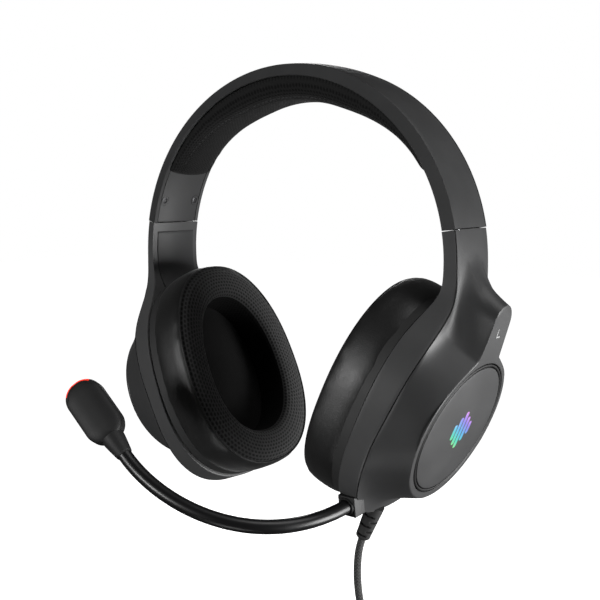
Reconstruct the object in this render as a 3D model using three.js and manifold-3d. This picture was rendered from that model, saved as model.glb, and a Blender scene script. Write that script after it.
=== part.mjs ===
// Over-ear gaming headset with a boom microphone, as separate pieces.
// Millimetres, +Z up, +X to the wearer's left, -Y to the front.
// The origin is on the underside of the headband cushion at its crown, where a head or a stand holds it.
import * as THREE from "three";
import { mergeVertices } from "three/addons/utils/BufferGeometryUtils.js";
import Module from "manifold-3d";

const wasm = await Module();
wasm.setup();

const RAD = Math.PI / 180;
const GAP = 0.3;

// ---------- Driving dimensions ----------
// Headband: an arch about the Y axis through (0, ARCH_Z).
const ARCH_R = 90.5;
const BAND_T = 5.65;
const BAND_CROWN = 1.0;
const CUSHION_R = 73.6;
const ARCH_Z = -CUSHION_R;
const COVER_HALF = 15.1;
const BAND_HALF = 17.35;
const INNER_R = ARCH_R - BAND_T;
const SPLIT_A = 9.8;
const CUSHION_A = 28;
const PLATE_HALF = 14.5;
const PLATE_END = CUSHION_A + 3;
const SCREW_A = 17.6;
const SCREW_Y = 11.7;

// Ear cups: a local frame whose x is outward, z is up in the cup's plane; depth 0 is the pad's seam plane.
const CUP_X = 38.4;
const CUP_Z = -129.7;
const TILT = 23.45;
const PAD = { a: 54, b: 44, n: 2.3, e: 0.05, u: -0.5 };
const PAD_HOLE = { a: 35.5, b: 26.5, n: 2.2, e: 0.05, u: -0.5 };
const RIM = { a: 54, b: 44, n: 2.35, e: 0.06, u: -0.5 };
const BAND = { a: 52, b: 41.2, n: 2.5, e: 0.06, u: -2 };
const PAD_BACK = 16.3;
const RING_FROM = 16.8;
const RING_TO = 21.6;
const RIM_DEPTH = 22;
const FLOOR_T = 1.5;
const FLOOR_HOLE = { a: 44, b: 34, n: 2.2, e: 0, u: 0 };
const WALL_T = 1.9;
const SKIN_T = 1.4;
const BAFFLE_FROM = RING_FROM + 0.4;
const DRIVER_D = RING_FROM + 3;
const DISC_U = 0.9;
const DISC_R = 33.4;
const PLATE_R = 36;
const PLATE_DEPTH = 50.2;
const TONGUE_TOP = 62.5;
const TONGUE_HALF = 8.4;
const NECK_BLEND = 9;
const RECESS = 2.2;
const SHELF_R = 29.5;
const LENS_D = PLATE_DEPTH - RECESS - SKIN_T - 1.7;
const SLOPE_REACH = 19;
const SLOPE_POWER = 1.45;
const TONGUE_FROM = 34;
const TONGUE_SINK = 10; // the right cup's tongue leans in towards its arm
const SLOPE_STEPS = [0.2, 0.42, 0.68];
const SEAM = [[-60, 32.2], [-10, 32.4], [8, 33.8], [22, 34.4], [36, 34.5], [46, 33.7], [57.8, 31.7]];
const INNER = [[-60, 22], [40, 22], [47, 22.5], [54, 23.8], [60, 24], [66, 22.1]];

// Headband slider: a blade fixed in the headband, inside each cup's arm.
const BLADE_X = 86.9;
const BLADE_T = 1;
const BLADE_HALF = 7;
const BLADE_L = 42;
const NOTCHES = 6;
const NOTCH_STEP = 4;
const PANEL_A = 6.25;
const PANEL_HALF = 13.6;
const PANEL_FOOT = 48;

// Controls on the rear edge of the left cup.
const WHEEL_R = 9;
const WHEEL_T = 3.6;
const WHEEL_D = 27.5;
const WHEEL_Y = 35.5;
const WHEEL_U = -16;
const BUTTON_D = 27.5;
const BUTTON_U = 10;
const BUTTON_Y = 43;
const BUTTON_W = 4;
const BUTTON_L = 8;

// Microphone boom: one cubic curve from the socket to the collar, and the head beyond it.
const BOOM = [[46.9, -34.5, -183], [39.5, -92.6, -191.8], [-9.4, -95.6, -177.8], [-31.4, -94.4, -158.4]];
const BOOM_R = 3.2;
const PIVOT_LOW = 10;
const PIVOT_MID = 60;
const PIVOT_GAP = 3.6;
const HEAD_AXIS = new THREE.Vector3(-0.75, 0.04, 0.66).normalize();
const HEAD_FROM = 8.9;
const HEAD_TURN = 33;
const HEAD_L = 33;
const HEAD_HALF = 9;
const HEAD_FRONT = 5.6;
const HEAD_BACK = 5.6;
const HEAD_SEAM = 2.1;
const TIP_LIP = 1.9;
const LIGHT_R = 7.45;
const LIGHT_TURN = 0;
const LIGHT_HALF = 0.95;
const SOCKET = 9.6;

// Cord: 2.0 m of 3.7 mm braid, hanging from the left cup; its unseen length is a tied coil.
const CORD_D = 3.7;
const RELIEF_D = 30.2;
const RELIEF_Y = -6.8;
const RELIEF_U = -54.7;
const RELIEF_L = 15.6;
const RELIEF_R = 4.3;
const COIL_MID_R = 21.5;
const COIL_HALF = 7.6;
const COIL_CENTRE = [30, -9, -281];
const CORD_PATH = [
  [38.2, -6.8, -205.9], [36.7, -7.2, -212], [36.3, -8.2, -221],
  [37.3, -9, -231], [39.6, -9, -242.5], [42.4, -9, -252.5],
];
const TAIL_TOP = -303;
const PLUG_TOP = -322;

// ---------- Materials ----------
const paint = (color, roughness, metalness = 0) =>
  new THREE.MeshStandardMaterial({ color, roughness, metalness });
const SHELL = paint(0x2b2c2e, 0.55);
const TRIM = paint(0x333436, 0.5);
const DARK = paint(0x151516, 0.6);
const FABRIC = paint(0x1b1b1c, 0.95);
const LEATHER = paint(0x1d1d1f, 0.45);
const STEEL = paint(0x9a9c9f, 0.35, 0.9);
const GLOSS = paint(0x0c0c0d, 0.2);
const RUBBER = paint(0x202021, 0.7);
const BOARD = paint(0x14502c, 0.5);
const LAMP = paint(0x59c8ff, 0.4);
const RED_LAMP = paint(0xff3a1c, 0.4);

// ---------- Geometry helpers ----------
const v3 = (x, y, z) => new THREE.Vector3(x, y, z);

function closedGeometry(points, faces) {
  const g = new THREE.BufferGeometry();
  g.setAttribute("position", new THREE.Float32BufferAttribute(points.flatMap((p) => [p.x, p.y, p.z]), 3));
  g.setIndex(faces.flat());
  return g;
}

// Quads between neighbouring rings of equal length.
function ringFaces(ringCount, size, closed) {
  const faces = [];
  const last = closed ? ringCount : ringCount - 1;
  for (let k = 0; k < last; k += 1) {
    const next = (k + 1) % ringCount;
    for (let i = 0; i < size; i += 1) {
      const j = (i + 1) % size;
      const [a, b, c, d] = [k * size + i, k * size + j, next * size + j, next * size + i];
      faces.push([a, b, c], [a, c, d]);
    }
  }
  return faces;
}

function outward(geometry) {
  const p = geometry.getAttribute("position");
  const index = geometry.getIndex().array;
  const [a, b, c] = [v3(0, 0, 0), v3(0, 0, 0), v3(0, 0, 0)];
  let volume = 0;
  for (let i = 0; i < index.length; i += 3) {
    a.fromBufferAttribute(p, index[i]);
    b.fromBufferAttribute(p, index[i + 1]);
    c.fromBufferAttribute(p, index[i + 2]);
    volume += a.dot(b.cross(c));
  }
  if (volume < 0) {
    for (let i = 0; i < index.length; i += 3) {
      [index[i], index[i + 1]] = [index[i + 1], index[i]];
    }
  }
  return geometry;
}

// Triangles that fill a flat outline, wound the way the outline runs.
function fill(flat) {
  const sign = THREE.ShapeUtils.isClockWise(flat) ? -1 : 1;
  return THREE.ShapeUtils.triangulateShape(flat, []).map(([a, b, c]) => {
    const [p, q] = [flat[b].clone().sub(flat[a]), flat[c].clone().sub(flat[a])];
    return p.cross(q) * sign > 0 ? [a, b, c] : [a, c, b];
  });
}

// A solid through rings, with its two ends closed; cap lists triangles inside one ring.
function loft(rings, cap) {
  const size = rings[0].length;
  const faces = ringFaces(rings.length, size, false);
  const triangles = cap ?? Array.from({ length: size - 2 }, (_, i) => [0, i + 1, i + 2]);
  const end = (rings.length - 1) * size;
  for (const [a, b, c] of triangles) {
    faces.push([a, c, b], [end + a, end + b, end + c]);
  }
  return outward(closedGeometry(rings.flat(), faces));
}

// A ring-shaped solid: the rings follow its cross-section and close on themselves.
const torus = (rings) =>
  outward(closedGeometry(rings.flat(), ringFaces(rings.length, rings[0].length, true)));

// A geometry with only positions, its shared vertices merged and its faces pointing out.
function merged(geometry) {
  const g = geometry.clone();
  g.deleteAttribute("normal");
  g.deleteAttribute("uv");
  return outward(mergeVertices(g, 1e-4));
}

const mirrored = (geometry) => merged(geometry.clone().applyMatrix4(new THREE.Matrix4().makeScale(-1, 1, 1)));

function solid(geometry) {
  const m = merged(geometry);
  return new wasm.Manifold(new wasm.Mesh({
    numProp: 3,
    vertProperties: new Float32Array(m.getAttribute("position").array),
    triVerts: new Uint32Array(m.getIndex().array),
  }));
}

function geometryOf(manifold) {
  const mesh = manifold.getMesh();
  const g = new THREE.BufferGeometry();
  g.setAttribute("position", new THREE.BufferAttribute(new Float32Array(mesh.vertProperties), 3));
  g.setIndex(Array.from(mesh.triVerts));
  return g;
}

const cut = (body, ...tools) => geometryOf(tools.reduce((m, t) => m.subtract(solid(t)), solid(body)));

// A circle to sweep along a path.
const disc = (r, sides) => new THREE.Shape(Array.from({ length: sides }, (_, i) => {
  const t = (2 * Math.PI * i) / sides;
  return new THREE.Vector2(r * Math.cos(t), r * Math.sin(t));
}));

function box(x, y, z, w, d, h) {
  return new THREE.BoxGeometry(w, d, h).translate(x, y, z);
}

// A cylinder whose axis is x.
const rod = (x0, x1, r, y, z, sides = 24) =>
  new THREE.CylinderGeometry(r, r, x1 - x0, sides).rotateZ(Math.PI / 2).translate((x0 + x1) / 2, y, z);

// A lathe about the local x axis through (y, z); profile points are [radius, x].
const turned = (profile, y, z, sides = 28) =>
  merged(new THREE.LatheGeometry(profile.map(([r, x]) => new THREE.Vector2(r, -x)), sides)
    .rotateZ(Math.PI / 2).translate(0, y, z));

function interpolate(table, u) {
  if (u <= table[0][0]) return table[0][1];
  for (let i = 1; i < table.length; i += 1) {
    const [u0, d0] = table[i - 1];
    const [u1, d1] = table[i];
    if (u <= u1) return d0 + ((d1 - d0) * (u - u0)) / (u1 - u0);
  }
  return table[table.length - 1][1];
}

const smooth = (t) => {
  const c = Math.min(1, Math.max(0, t));
  return c * c * (3 - 2 * c);
};

const meshes = new THREE.Group();

function add(name, geometry, material, parent = meshes) {
  const mesh = new THREE.Mesh(geometry, material);
  mesh.name = name;
  parent.add(mesh);
  return mesh;
}

// ---------- Headband ----------
const archPoint = (r, degrees, y) => v3(r * Math.cos(degrees * RAD), y, ARCH_Z + r * Math.sin(degrees * RAD));

// Sweeps a cross-section of [radius, y] points about the arch's axis.
function archSolid(section, from, to, steps) {
  const rings = [];
  for (let i = 0; i <= steps; i += 1) {
    const angle = from + ((to - from) * i) / steps;
    rings.push(section.map(([r, y]) => archPoint(r, angle, y)));
  }
  const flat = section.map(([r, y]) => new THREE.Vector2(r, y));
  return loft(rings, fill(flat));
}

const bothSides = (half) => [...half, ...half.slice().reverse().map(([r, y]) => [r, -y])];
const rectangle = (r0, r1, half) => [[r0, -half], [r1, -half], [r1, half], [r0, half]];

const COVER_BASE = ARCH_R - 1.7;
const CHANNEL_R = INNER_R + 1.3;
const CHANNEL_HALF = 13.3;

function headband() {
  const coverHalf = COVER_HALF - GAP / 2;
  const crown = [-1, -0.5, 0, 0.5, 1].map((t) => [ARCH_R + BAND_CROWN * (1 - t * t), t * coverHalf]);
  add("headband_cover", archSolid([[COVER_BASE + GAP, -coverHalf], ...crown, [COVER_BASE + GAP, coverHalf]],
    SPLIT_A, 180 - SPLIT_A, 40), SHELL);
  const wall = [[INNER_R, BAND_HALF], [ARCH_R, COVER_HALF + GAP / 2], [COVER_BASE, COVER_HALF + GAP / 2],
    [COVER_BASE, CHANNEL_HALF], [CHANNEL_R, CHANNEL_HALF]];
  const channel = archSolid(bothSides(wall), SPLIT_A, 180 - SPLIT_A, 40);
  const pocket = rectangle(INNER_R - 2, CHANNEL_R + 1, PLATE_HALF + GAP);
  const pocketAt = (from, to) => archSolid(pocket, from, to, 6);
  const pockets = [pocketAt(SPLIT_A - 3, PLATE_END), pocketAt(180 - PLATE_END, 183 - SPLIT_A)];
  add("headband_frame", cut(channel, ...pockets), SHELL);
  add("headband_spring", archSolid(rectangle(INNER_R + 1.9, INNER_R + 2.7, 6), 22, 158, 32), STEEL);
  const wire = new THREE.ArcCurve(0, 0, INNER_R + 2.9, 24 * RAD, 156 * RAD, false);
  const route = new THREE.CatmullRomCurve3(wire.getPoints(20).map((p) => v3(p.x, 10, ARCH_Z + p.y)));
  add("headband_wire", new THREE.ExtrudeGeometry(disc(0.8, 8), { steps: 24, extrudePath: route }), DARK);
}

function cushion() {
  // Crowned underside that runs out into rounded ends.
  const half = BAND_HALF - 2.1;
  const thick = INNER_R - CUSHION_R;
  const rings = [];
  const steps = 26;
  for (let i = 0; i <= steps; i += 1) {
    const t = i / steps;
    const angle = CUSHION_A + (180 - 2 * CUSHION_A) * t;
    const edge = Math.min(1, (Math.min(t, 1 - t) * (180 - 2 * CUSHION_A)) / 9);
    const rise = Math.sqrt(Math.max(0.01, 1 - (1 - edge) ** 2));
    const swell = 0.42 + 0.58 * smooth(Math.min(t, 1 - t) / 0.34);
    const depth = thick * rise * swell;
    const width = half * (0.72 + 0.28 * rise);
    const ring = [[INNER_R - GAP, -width], [INNER_R - GAP, width]];
    for (const s of [1, 0.86, 0.55, 0.2, -0.2, -0.55, -0.86, -1]) {
      ring.push([INNER_R - GAP - 0.2 - (depth - 0.5) * (1 - Math.abs(s) ** 3.2) ** 0.6, s * width]);
    }
    rings.push(ring.map(([r, y]) => archPoint(r, angle, y)));
  }
  add("headband_cushion", loft(rings), FABRIC);
}

function endPlates() {
  for (const [side, word] of [[1, "left"], [-1, "right"]]) {
    const turn = (geometry) => (side > 0 ? geometry : mirrored(geometry));
    const plate = cut(archSolid(rectangle(INNER_R, INNER_R + 1.1, PLATE_HALF), SPLIT_A, PLATE_END - 0.3, 6),
      ...[-1, 1].map((k) => screwHole(k * SCREW_Y, 2.35)));
    add(`end_plate_${word}`, turn(plate), TRIM);
    for (const [k, place] of [[-1, "front"], [1, "rear"]]) {
      add(`end_screw_${word}_${place}`, turn(endScrew(k * SCREW_Y)), STEEL);
    }
  }
}

// Places a piece made along x (outward) at the end plate's screw position.
const atScrew = (geometry, y) => geometry.rotateY(-SCREW_A * RAD)
  .translate(INNER_R * Math.cos(SCREW_A * RAD), y, ARCH_Z + INNER_R * Math.sin(SCREW_A * RAD));

const screwHole = (y, r) => atScrew(rod(-2, 4, r, 0, 0, 16), y);

function endScrew(y) {
  const head = [[0, 0.1], [2.0, 0.1], [2.0, 1.2], [1.0, 1.2], [1.0, 3.4], [0, 3.6]];
  const socket = new THREE.CylinderGeometry(0.75, 0.75, 1.2, 6).rotateZ(Math.PI / 2);
  return cut(atScrew(turned(head, 0, 0, 14), y), atScrew(socket, y));
}

// ---------- Ear cup outlines, in the cup's frame: u is up, y is across, depth is outward ----------
const cupPoint = (u, y, depth) => v3(depth, y, u);

function eggPoint(egg, t, grow = 0) {
  const [c, s] = [Math.cos(t), Math.sin(t)];
  const power = 2 / egg.n;
  const rise = Math.sign(s) * Math.abs(s) ** power;
  const across = Math.sign(c) * Math.abs(c) ** power;
  return [egg.u + (egg.a + grow) * rise, (egg.b + grow) * across * (1 - egg.e * rise)];
}

function eggHalf(egg, u) {
  const t = (u - egg.u) / egg.a;
  if (Math.abs(t) >= 1) return 0;
  return egg.b * (1 - Math.abs(t) ** egg.n) ** (1 / egg.n) * (1 - egg.e * t);
}

const eggRing = (egg, depth, grow = 0, count = 36) =>
  Array.from({ length: count }, (_, i) => {
    const [u, y] = eggPoint(egg, (2 * Math.PI * i) / count, grow);
    return cupPoint(u, y, depth);
  });

const circleRing = (r, depth, count = 36) =>
  Array.from({ length: count }, (_, i) => {
    const t = (2 * Math.PI * i) / count;
    return cupPoint(DISC_U + r * Math.sin(t), r * Math.cos(t), depth);
  });

// The arch's outer and inner lines carried over into the cup's frame.
function archInCup(r, degrees) {
  const x = r * Math.cos(degrees * RAD) - CUP_X;
  const z = ARCH_Z + r * Math.sin(degrees * RAD) - CUP_Z;
  const [c, s] = [Math.cos(TILT * RAD), Math.sin(TILT * RAD)];
  return [x * s + z * c, x * c - z * s];
}

const ARM_END = SPLIT_A - 0.25;
const ARM_STEPS = [ARM_END + 3, ARM_END, 4.5, 0];

function sideLine(table, r) {
  const line = ARM_STEPS.map((a) => archInCup(r, a)).reverse();
  return [...table.filter(([u]) => u < line[0][0] - 2), ...line];
}

const SEAM_LINE = sideLine(SEAM, ARCH_R);
const INNER_LINE = sideLine(INNER, INNER_R);
const seamDepth = (u) => interpolate(SEAM_LINE, u);
const innerDepth = (u) => interpolate(INNER_LINE, u);

// Half of a cup-and-arm outline from the arm's end down to the cup's foot: [u, y] pairs.
function halfOutline(egg, r, half, filletTop, filletFoot) {
  const end = archInCup(r, ARM_STEPS[0])[0];
  const points = [0, 0.5].map((t) => [end, t * half]);
  ARM_STEPS.forEach((a) => points.push([archInCup(r, a)[0], half]));
  const foot = eggHalf(egg, filletFoot);
  const slope = (eggHalf(egg, filletFoot + 1) - eggHalf(egg, filletFoot - 1)) / 2;
  const span = filletTop - filletFoot;
  for (const t of [0, 0.2, 0.4, 0.6, 0.8]) {
    const k = 1 - t;
    const [h00, h10, h01] = [1 - 3 * k * k + 2 * k ** 3, k - 2 * k * k + k ** 3, 3 * k * k - 2 * k ** 3];
    points.push([filletFoot + k * span, h00 * foot + h10 * span * slope + h01 * half]);
  }
  const start = Math.asin(((filletFoot - egg.u) / egg.a) ** (egg.n / 2));
  const steps = 15;
  for (let i = 0; i <= steps; i += 1) {
    points.push(eggPoint(egg, start + ((-Math.PI / 2 - start) * i) / steps));
  }
  points[points.length - 1][1] = 0;
  return points;
}

// The whole outline, both sides, starting at the middle of the arm's end.
function outline(half) {
  const back = half.slice(1, -1).reverse().map(([u, y]) => [u, -y]);
  return [...half, ...back];
}

// Moves a closed [u, y] outline inwards by an amount, or outwards when it is negative.
function inset(points, amount) {
  const n = points.length;
  const area = points.reduce((sum, [u, y], i) => {
    const [nu, ny] = points[(i + 1) % n];
    return sum + u * ny - nu * y;
  }, 0);
  return points.map(([u, y], i) => {
    const [pu, py] = points[(i + n - 1) % n];
    const [nu, ny] = points[(i + 1) % n];
    const before = new THREE.Vector2(u - pu, y - py).normalize();
    const along = new THREE.Vector2(nu - u, ny - y).normalize().add(before).normalize();
    const reach = (amount * Math.sign(area)) / Math.max(0.6, along.dot(before));
    return [u - along.y * reach, y + along.x * reach];
  });
}

const SEAM_OUTLINE = outline(halfOutline(BAND, ARCH_R, COVER_HALF, 62, 33));
const RIM_OUTLINE = outline(halfOutline(RIM, INNER_R, BAND_HALF, 62, 33));
const outlineRing = (points, depthAt) => points.map(([u, y]) => cupPoint(u, y, depthAt(u)));

// Ruled strips between the two sides of an outline close a lofted shell's ends.
function stripCap(size) {
  const half = size / 2;
  const faces = [[0, 1, size - 1]];
  for (let i = 1; i < half - 1; i += 1) {
    faces.push([i, i + 1, size - i - 1], [i, size - i - 1, size - i]);
  }
  faces.push([half - 1, half, half + 1]);
  return faces;
}

const slab = (low, lowDepth, high, highDepth) =>
  loft([outlineRing(low, lowDepth), outlineRing(high, highDepth)], stripCap(low.length));

// ---------- Outer cover: a raised disc plate with a tongue, and a hollow slope down to the seam ----------
function keyholeHalf(u) {
  const chord = PLATE_R ** 2 - (u - DISC_U + 0.5) ** 2;
  const circle = chord > 0 ? Math.sqrt(chord) : 0;
  if (u < 20) return circle;
  if (u > TONGUE_TOP) return 0;
  const roundFrom = TONGUE_TOP - TONGUE_HALF;
  const side = TONGUE_HALF + 0.0045 * Math.max(0, roundFrom + 4 - u) ** 2;
  const end = Math.sqrt(Math.max(0, 1 - (Math.max(0, u - roundFrom) / TONGUE_HALF) ** 2));
  const tongue = side * end;
  const neck = u < 45 ? Math.max(0, NECK_BLEND - Math.abs(circle - tongue)) : 0;
  return Math.max(circle, tongue) + neck ** 2 / (4 * NECK_BLEND);
}

const plateDepth = (u) => PLATE_DEPTH - 0.0021 * Math.max(0, u - 30) ** 2;

// Where a ray from the disc's centre leaves the keyhole-shaped plate.
function keyholePoint([u, y]) {
  const far = Math.hypot(u - DISC_U, y);
  const [du, dy] = [(u - DISC_U) / far, y / far];
  let [low, high] = [20, 80];
  for (let i = 0; i < 40; i += 1) {
    const r = (low + high) / 2;
    if (Math.abs(r * dy) < keyholeHalf(DISC_U + r * du)) low = r;
    else high = r;
  }
  return [DISC_U + low * du, low * dy];
}

function distanceTo(points, u, y) {
  let best = Infinity;
  points.forEach(([au, ay], i) => {
    const [bu, by] = points[(i + 1) % points.length];
    const [du, dy] = [bu - au, by - ay];
    const t = Math.min(1, Math.max(0, ((u - au) * du + (y - ay) * dy) / (du * du + dy * dy)));
    best = Math.min(best, Math.hypot(u - au - t * du, y - ay - t * dy));
  });
  return best;
}

const COVER_OUTLINE = inset(SEAM_OUTLINE, GAP);
const KEYHOLE = COVER_OUTLINE.map(keyholePoint);

function coverDepth(u, y, plate) {
  const near = distanceTo(KEYHOLE, u, y);
  const far = distanceTo(COVER_OUTLINE, u, y);
  const share = near / (near + far + 1e-6);
  const byTongue = smooth((u - TONGUE_FROM) / 16);
  const power = SLOPE_POWER - 0.65 * (1 - smooth((near + far - 6) / 12)) * (1 - byTongue) + 1.6 * byTongue;
  const rise = (1 - share) ** power * (1 - smooth(near / (SLOPE_REACH - 5 * byTongue)));
  const crown = 1.2 * BAND_CROWN * smooth((u - 50) / 12) * Math.max(0, 1 - (y / COVER_HALF) ** 2);
  const base = seamDepth(u) + crown;
  return base + (plate(u) - base) * rise;
}

// A point's place on the way from the disc's centre, moved to radius r.
const atRadius = ([u, y], r) => {
  const far = Math.hypot(u - DISC_U, y);
  return [DISC_U + (r * (u - DISC_U)) / far, (r * y) / far];
};

// Carries a piece made in the headset's own axes into the left cup's frame.
const intoCup = (geometry) => geometry.translate(-CUP_X, 0, -CUP_Z).rotateY(-TILT * RAD);

// Everything past an angle of the arch, for cutting the arm's end square to it.
const beyond = (angle) => intoCup(archSolid(rectangle(70, 110, 30), angle, angle + 15, 4));

function outerHousing(sink) {
  const plate = (u) => plateDepth(u) - sink * smooth((u - 42) / 20);
  const depth = (u, y) => coverDepth(u, y, plate);
  const ringAt = (points, depthOf) => points.map(([u, y]) => cupPoint(u, y, depthOf(u, y)));
  const circle = (r) => COVER_OUTLINE.map((p) => atRadius(p, r));
  const between = (t) => COVER_OUTLINE.map(([u, y], i) => {
    const [ku, ky] = KEYHOLE[i];
    return [ku + (u - ku) * t, ky + (y - ky) * t];
  });
  const under = (points) => points.map(([u, y]) => {
    const far = Math.hypot(u - DISC_U, y);
    const [iu, iy] = atRadius([u, y], Math.max(SHELF_R + 3.5, far - SKIN_T));
    return cupPoint(iu, iy, depth(u, y) - SKIN_T);
  });
  const flat = (depth) => () => depth;
  const shelf = PLATE_DEPTH - RECESS;
  return cut(torus([
    ringAt(circle(DISC_R), flat(PLATE_DEPTH)),
    ringAt(KEYHOLE, plate),
    ...SLOPE_STEPS.map((t) => ringAt(between(t), depth)),
    ringAt(COVER_OUTLINE, seamDepth),
    ringAt(COVER_OUTLINE, (u) => seamDepth(u) - SKIN_T),
    ...SLOPE_STEPS.slice().reverse().map((t) => under(between(t))),
    under(KEYHOLE),
    ringAt(circle(SHELF_R + 2.5), flat(shelf - SKIN_T)),
    ringAt(circle(SHELF_R), flat(shelf - SKIN_T)),
    ringAt(circle(SHELF_R), flat(shelf)),
    ringAt(circle(DISC_R), flat(shelf)),
  ]), beyond(ARM_END));
}

// ---------- Inner housing: the cup's side band and the walls of the arm ----------
const PANEL_TOP = archInCup(INNER_R, PANEL_A)[0];

function armPanel(half, from, to, low, high) {
  const steps = 6;
  const rings = Array.from({ length: steps + 1 }, (_, i) => {
    const u = from + ((to - from) * i) / steps;
    const corners = [[-half, low], [-half, high], [half, high], [half, low]];
    return corners.map(([y, k]) => cupPoint(u, y, innerDepth(u) + k));
  });
  return loft(rings);
}

function innerHousing(left) {
  const wall = inset(SEAM_OUTLINE, WALL_T);
  const top = inset(SEAM_OUTLINE, 0.1);
  const ledge = (u) => seamDepth(u) - SKIN_T - GAP - smooth((u - 53) / 9);
  const hollow = slab(wall, (u) => innerDepth(u) + FLOOR_T, wall, (u) => seamDepth(u) + 1);
  const tools = [
    beyond(ARM_END),
    cut(hollow, beyond(ARM_END - 1.3)),
    slab(top, ledge, top, (u) => seamDepth(u) + 2),
    loft([eggRing(FLOOR_HOLE, RIM_DEPTH - 3), eggRing(FLOOR_HOLE, RIM_DEPTH + 8)]),
    armPanel(PANEL_HALF + GAP, PANEL_TOP + GAP, PANEL_FOOT - GAP, -2, 2.5),
    intoCup(box(BLADE_X, 0, -60, BLADE_T + 2 * GAP, 2 * (BLADE_HALF + GAP), 40)),
  ];
  if (left) {
    tools.push(box(WHEEL_D, WHEEL_Y + 7, WHEEL_U, WHEEL_T + 0.8, 10, 2 * WHEEL_R - 0.4));
    tools.push(box(BUTTON_D, WHEEL_Y + 7, BUTTON_U, BUTTON_W + 0.6, 10, BUTTON_L + 0.6));
  }
  return cut(slab(RIM_OUTLINE, innerDepth, SEAM_OUTLINE, seamDepth), ...tools);
}

// ---------- Cup pieces ----------
function earPad() {
  // Cross-section from the hole's back, over the face, to the outer edge and back: [share, depth].
  const section = [[0.06, PAD_BACK], [-0.02, 9], [0, 3], [0.1, -0.6], [0.3, -1.9], [0.55, -2], [0.76, -1.2],
    [0.9, 0.9], [0.985, 4.5], [1, 8.5], [0.985, 12.5], [0.93, PAD_BACK]];
  const rings = section.map(([t, depth]) => {
    const egg = {};
    for (const key of ["a", "b", "n", "e", "u"]) {
      egg[key] = PAD_HOLE[key] + (PAD[key] - PAD_HOLE[key]) * t;
    }
    return eggRing(egg, depth, 0, 32);
  });
  return torus(rings);
}

const padRing = () =>
  torus([[RING_FROM, -1], [RING_TO, -1], [RING_TO, -3.5], [RING_FROM, -3.5]]
    .map(([depth, grow]) => eggRing(PAD, depth, grow)));

function baffle() {
  const plate = loft([eggRing(PAD, BAFFLE_FROM, -3.9), eggRing(PAD, BAFFLE_FROM + 2.2, -3.9)]);
  const hole = (y, z) => rod(BAFFLE_FROM - 1, BAFFLE_FROM + 4, 3, y, z, 12);
  const around = Array.from({ length: 6 }, (_, i) => (i * Math.PI) / 3)
    .map((t) => hole(10 * Math.cos(t), 10 * Math.sin(t)));
  return cut(plate, hole(0, 0), ...around);
}

const driver = () => turned([[0, DRIVER_D + 0.6], [17, DRIVER_D + 0.6], [18.2, DRIVER_D], [20, DRIVER_D],
  [20, DRIVER_D + 1.8], [17, DRIVER_D + 2.6], [13.5, DRIVER_D + 5.4], [11, DRIVER_D + 5.6],
  [11, DRIVER_D + 10],
  [0, DRIVER_D + 10]], 0, 0, 24);

function discRing() {
  const [low, high] = [PLATE_DEPTH - RECESS + GAP, PLATE_DEPTH + 0.1];
  return torus([[32.8, low], [32.8, high - 0.4], [32.4, high], [32, high], [31.6, high - 0.4], [31.6, low]]
    .map(([r, depth]) => circleRing(r, depth)));
}

function discCover() {
  const low = PLATE_DEPTH - RECESS + GAP;
  const dome = [[31.2, -0.3], [30.6, 0.1], [22, 0.75], [11, 1.05], [0, 1.15]]
    .map(([r, d]) => [r, PLATE_DEPTH + d]);
  return turned([[0, low], [31.2, low], ...dome], 0, DISC_U, 36);
}

const emblemLens = () =>
  turned([[0, LENS_D], [9, LENS_D], [9, LENS_D + 1.3], [0, LENS_D + 1.3]], 0, DISC_U, 24);

const ledBoard = () => turned([[0, LENS_D - 4], [14, LENS_D - 4], [14, LENS_D - 2.8], [4, LENS_D - 2.8],
  [4, LENS_D - 1.2], [0, LENS_D - 1.2]], 0, DISC_U, 20);

// A spring-steel strip: curved inside the headband, straight inside the arm, with notched edges.
function sliderBlade() {
  const r = BLADE_X / Math.cos(SPLIT_A * RAD);
  const onArch = [17, 14.6, 12.2, SPLIT_A].map((a) => [a * RAD, r]);
  const line = onArch.map(([a]) => [r * Math.cos(a), ARCH_Z + r * Math.sin(a), Math.cos(a), Math.sin(a)]);
  const shoulder = ARCH_Z + r * Math.sin(SPLIT_A * RAD);
  line.push([BLADE_X, shoulder - 3, 1, 0], [BLADE_X, shoulder - BLADE_L, 1, 0]);
  const rings = line.map(([x, z, nx, nz]) => [[-1, -1], [-1, 1], [1, 1], [1, -1]].map(([k, side]) =>
    v3(x + (k * nx * BLADE_T) / 2, side * BLADE_HALF, z + (k * nz * BLADE_T) / 2)));
  const notches = [];
  for (let i = 0; i < NOTCHES; i += 1) {
    const z = shoulder - 17 - NOTCH_STEP * i;
    for (const side of [-1, 1]) {
      notches.push(rod(BLADE_X - 2, BLADE_X + 2, 0.9, side * (BLADE_HALF + 0.3), z, 8));
    }
  }
  return cut(loft(rings), ...notches);
}

// A leaf beside the blade, whose bump clicks into the notches.
function detentSpring() {
  const leaf = [[8.1, -6], [9.2, -6], [9.2, 6], [8.1, 6], [8.1, 1.2], [7.5, 0.5], [7.5, -0.5], [8.1, -1.2]];
  const shape = new THREE.Shape(leaf.map(([y, z]) => new THREE.Vector2(y, z)));
  return new THREE.ExtrudeGeometry(shape, { depth: BLADE_T, bevelEnabled: false })
    .applyMatrix4(new THREE.Matrix4().makeBasis(v3(0, 1, 0), v3(0, 0, 1), v3(1, 0, 0)))
    .translate(BLADE_X - BLADE_T / 2, 0, -76);
}

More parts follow.
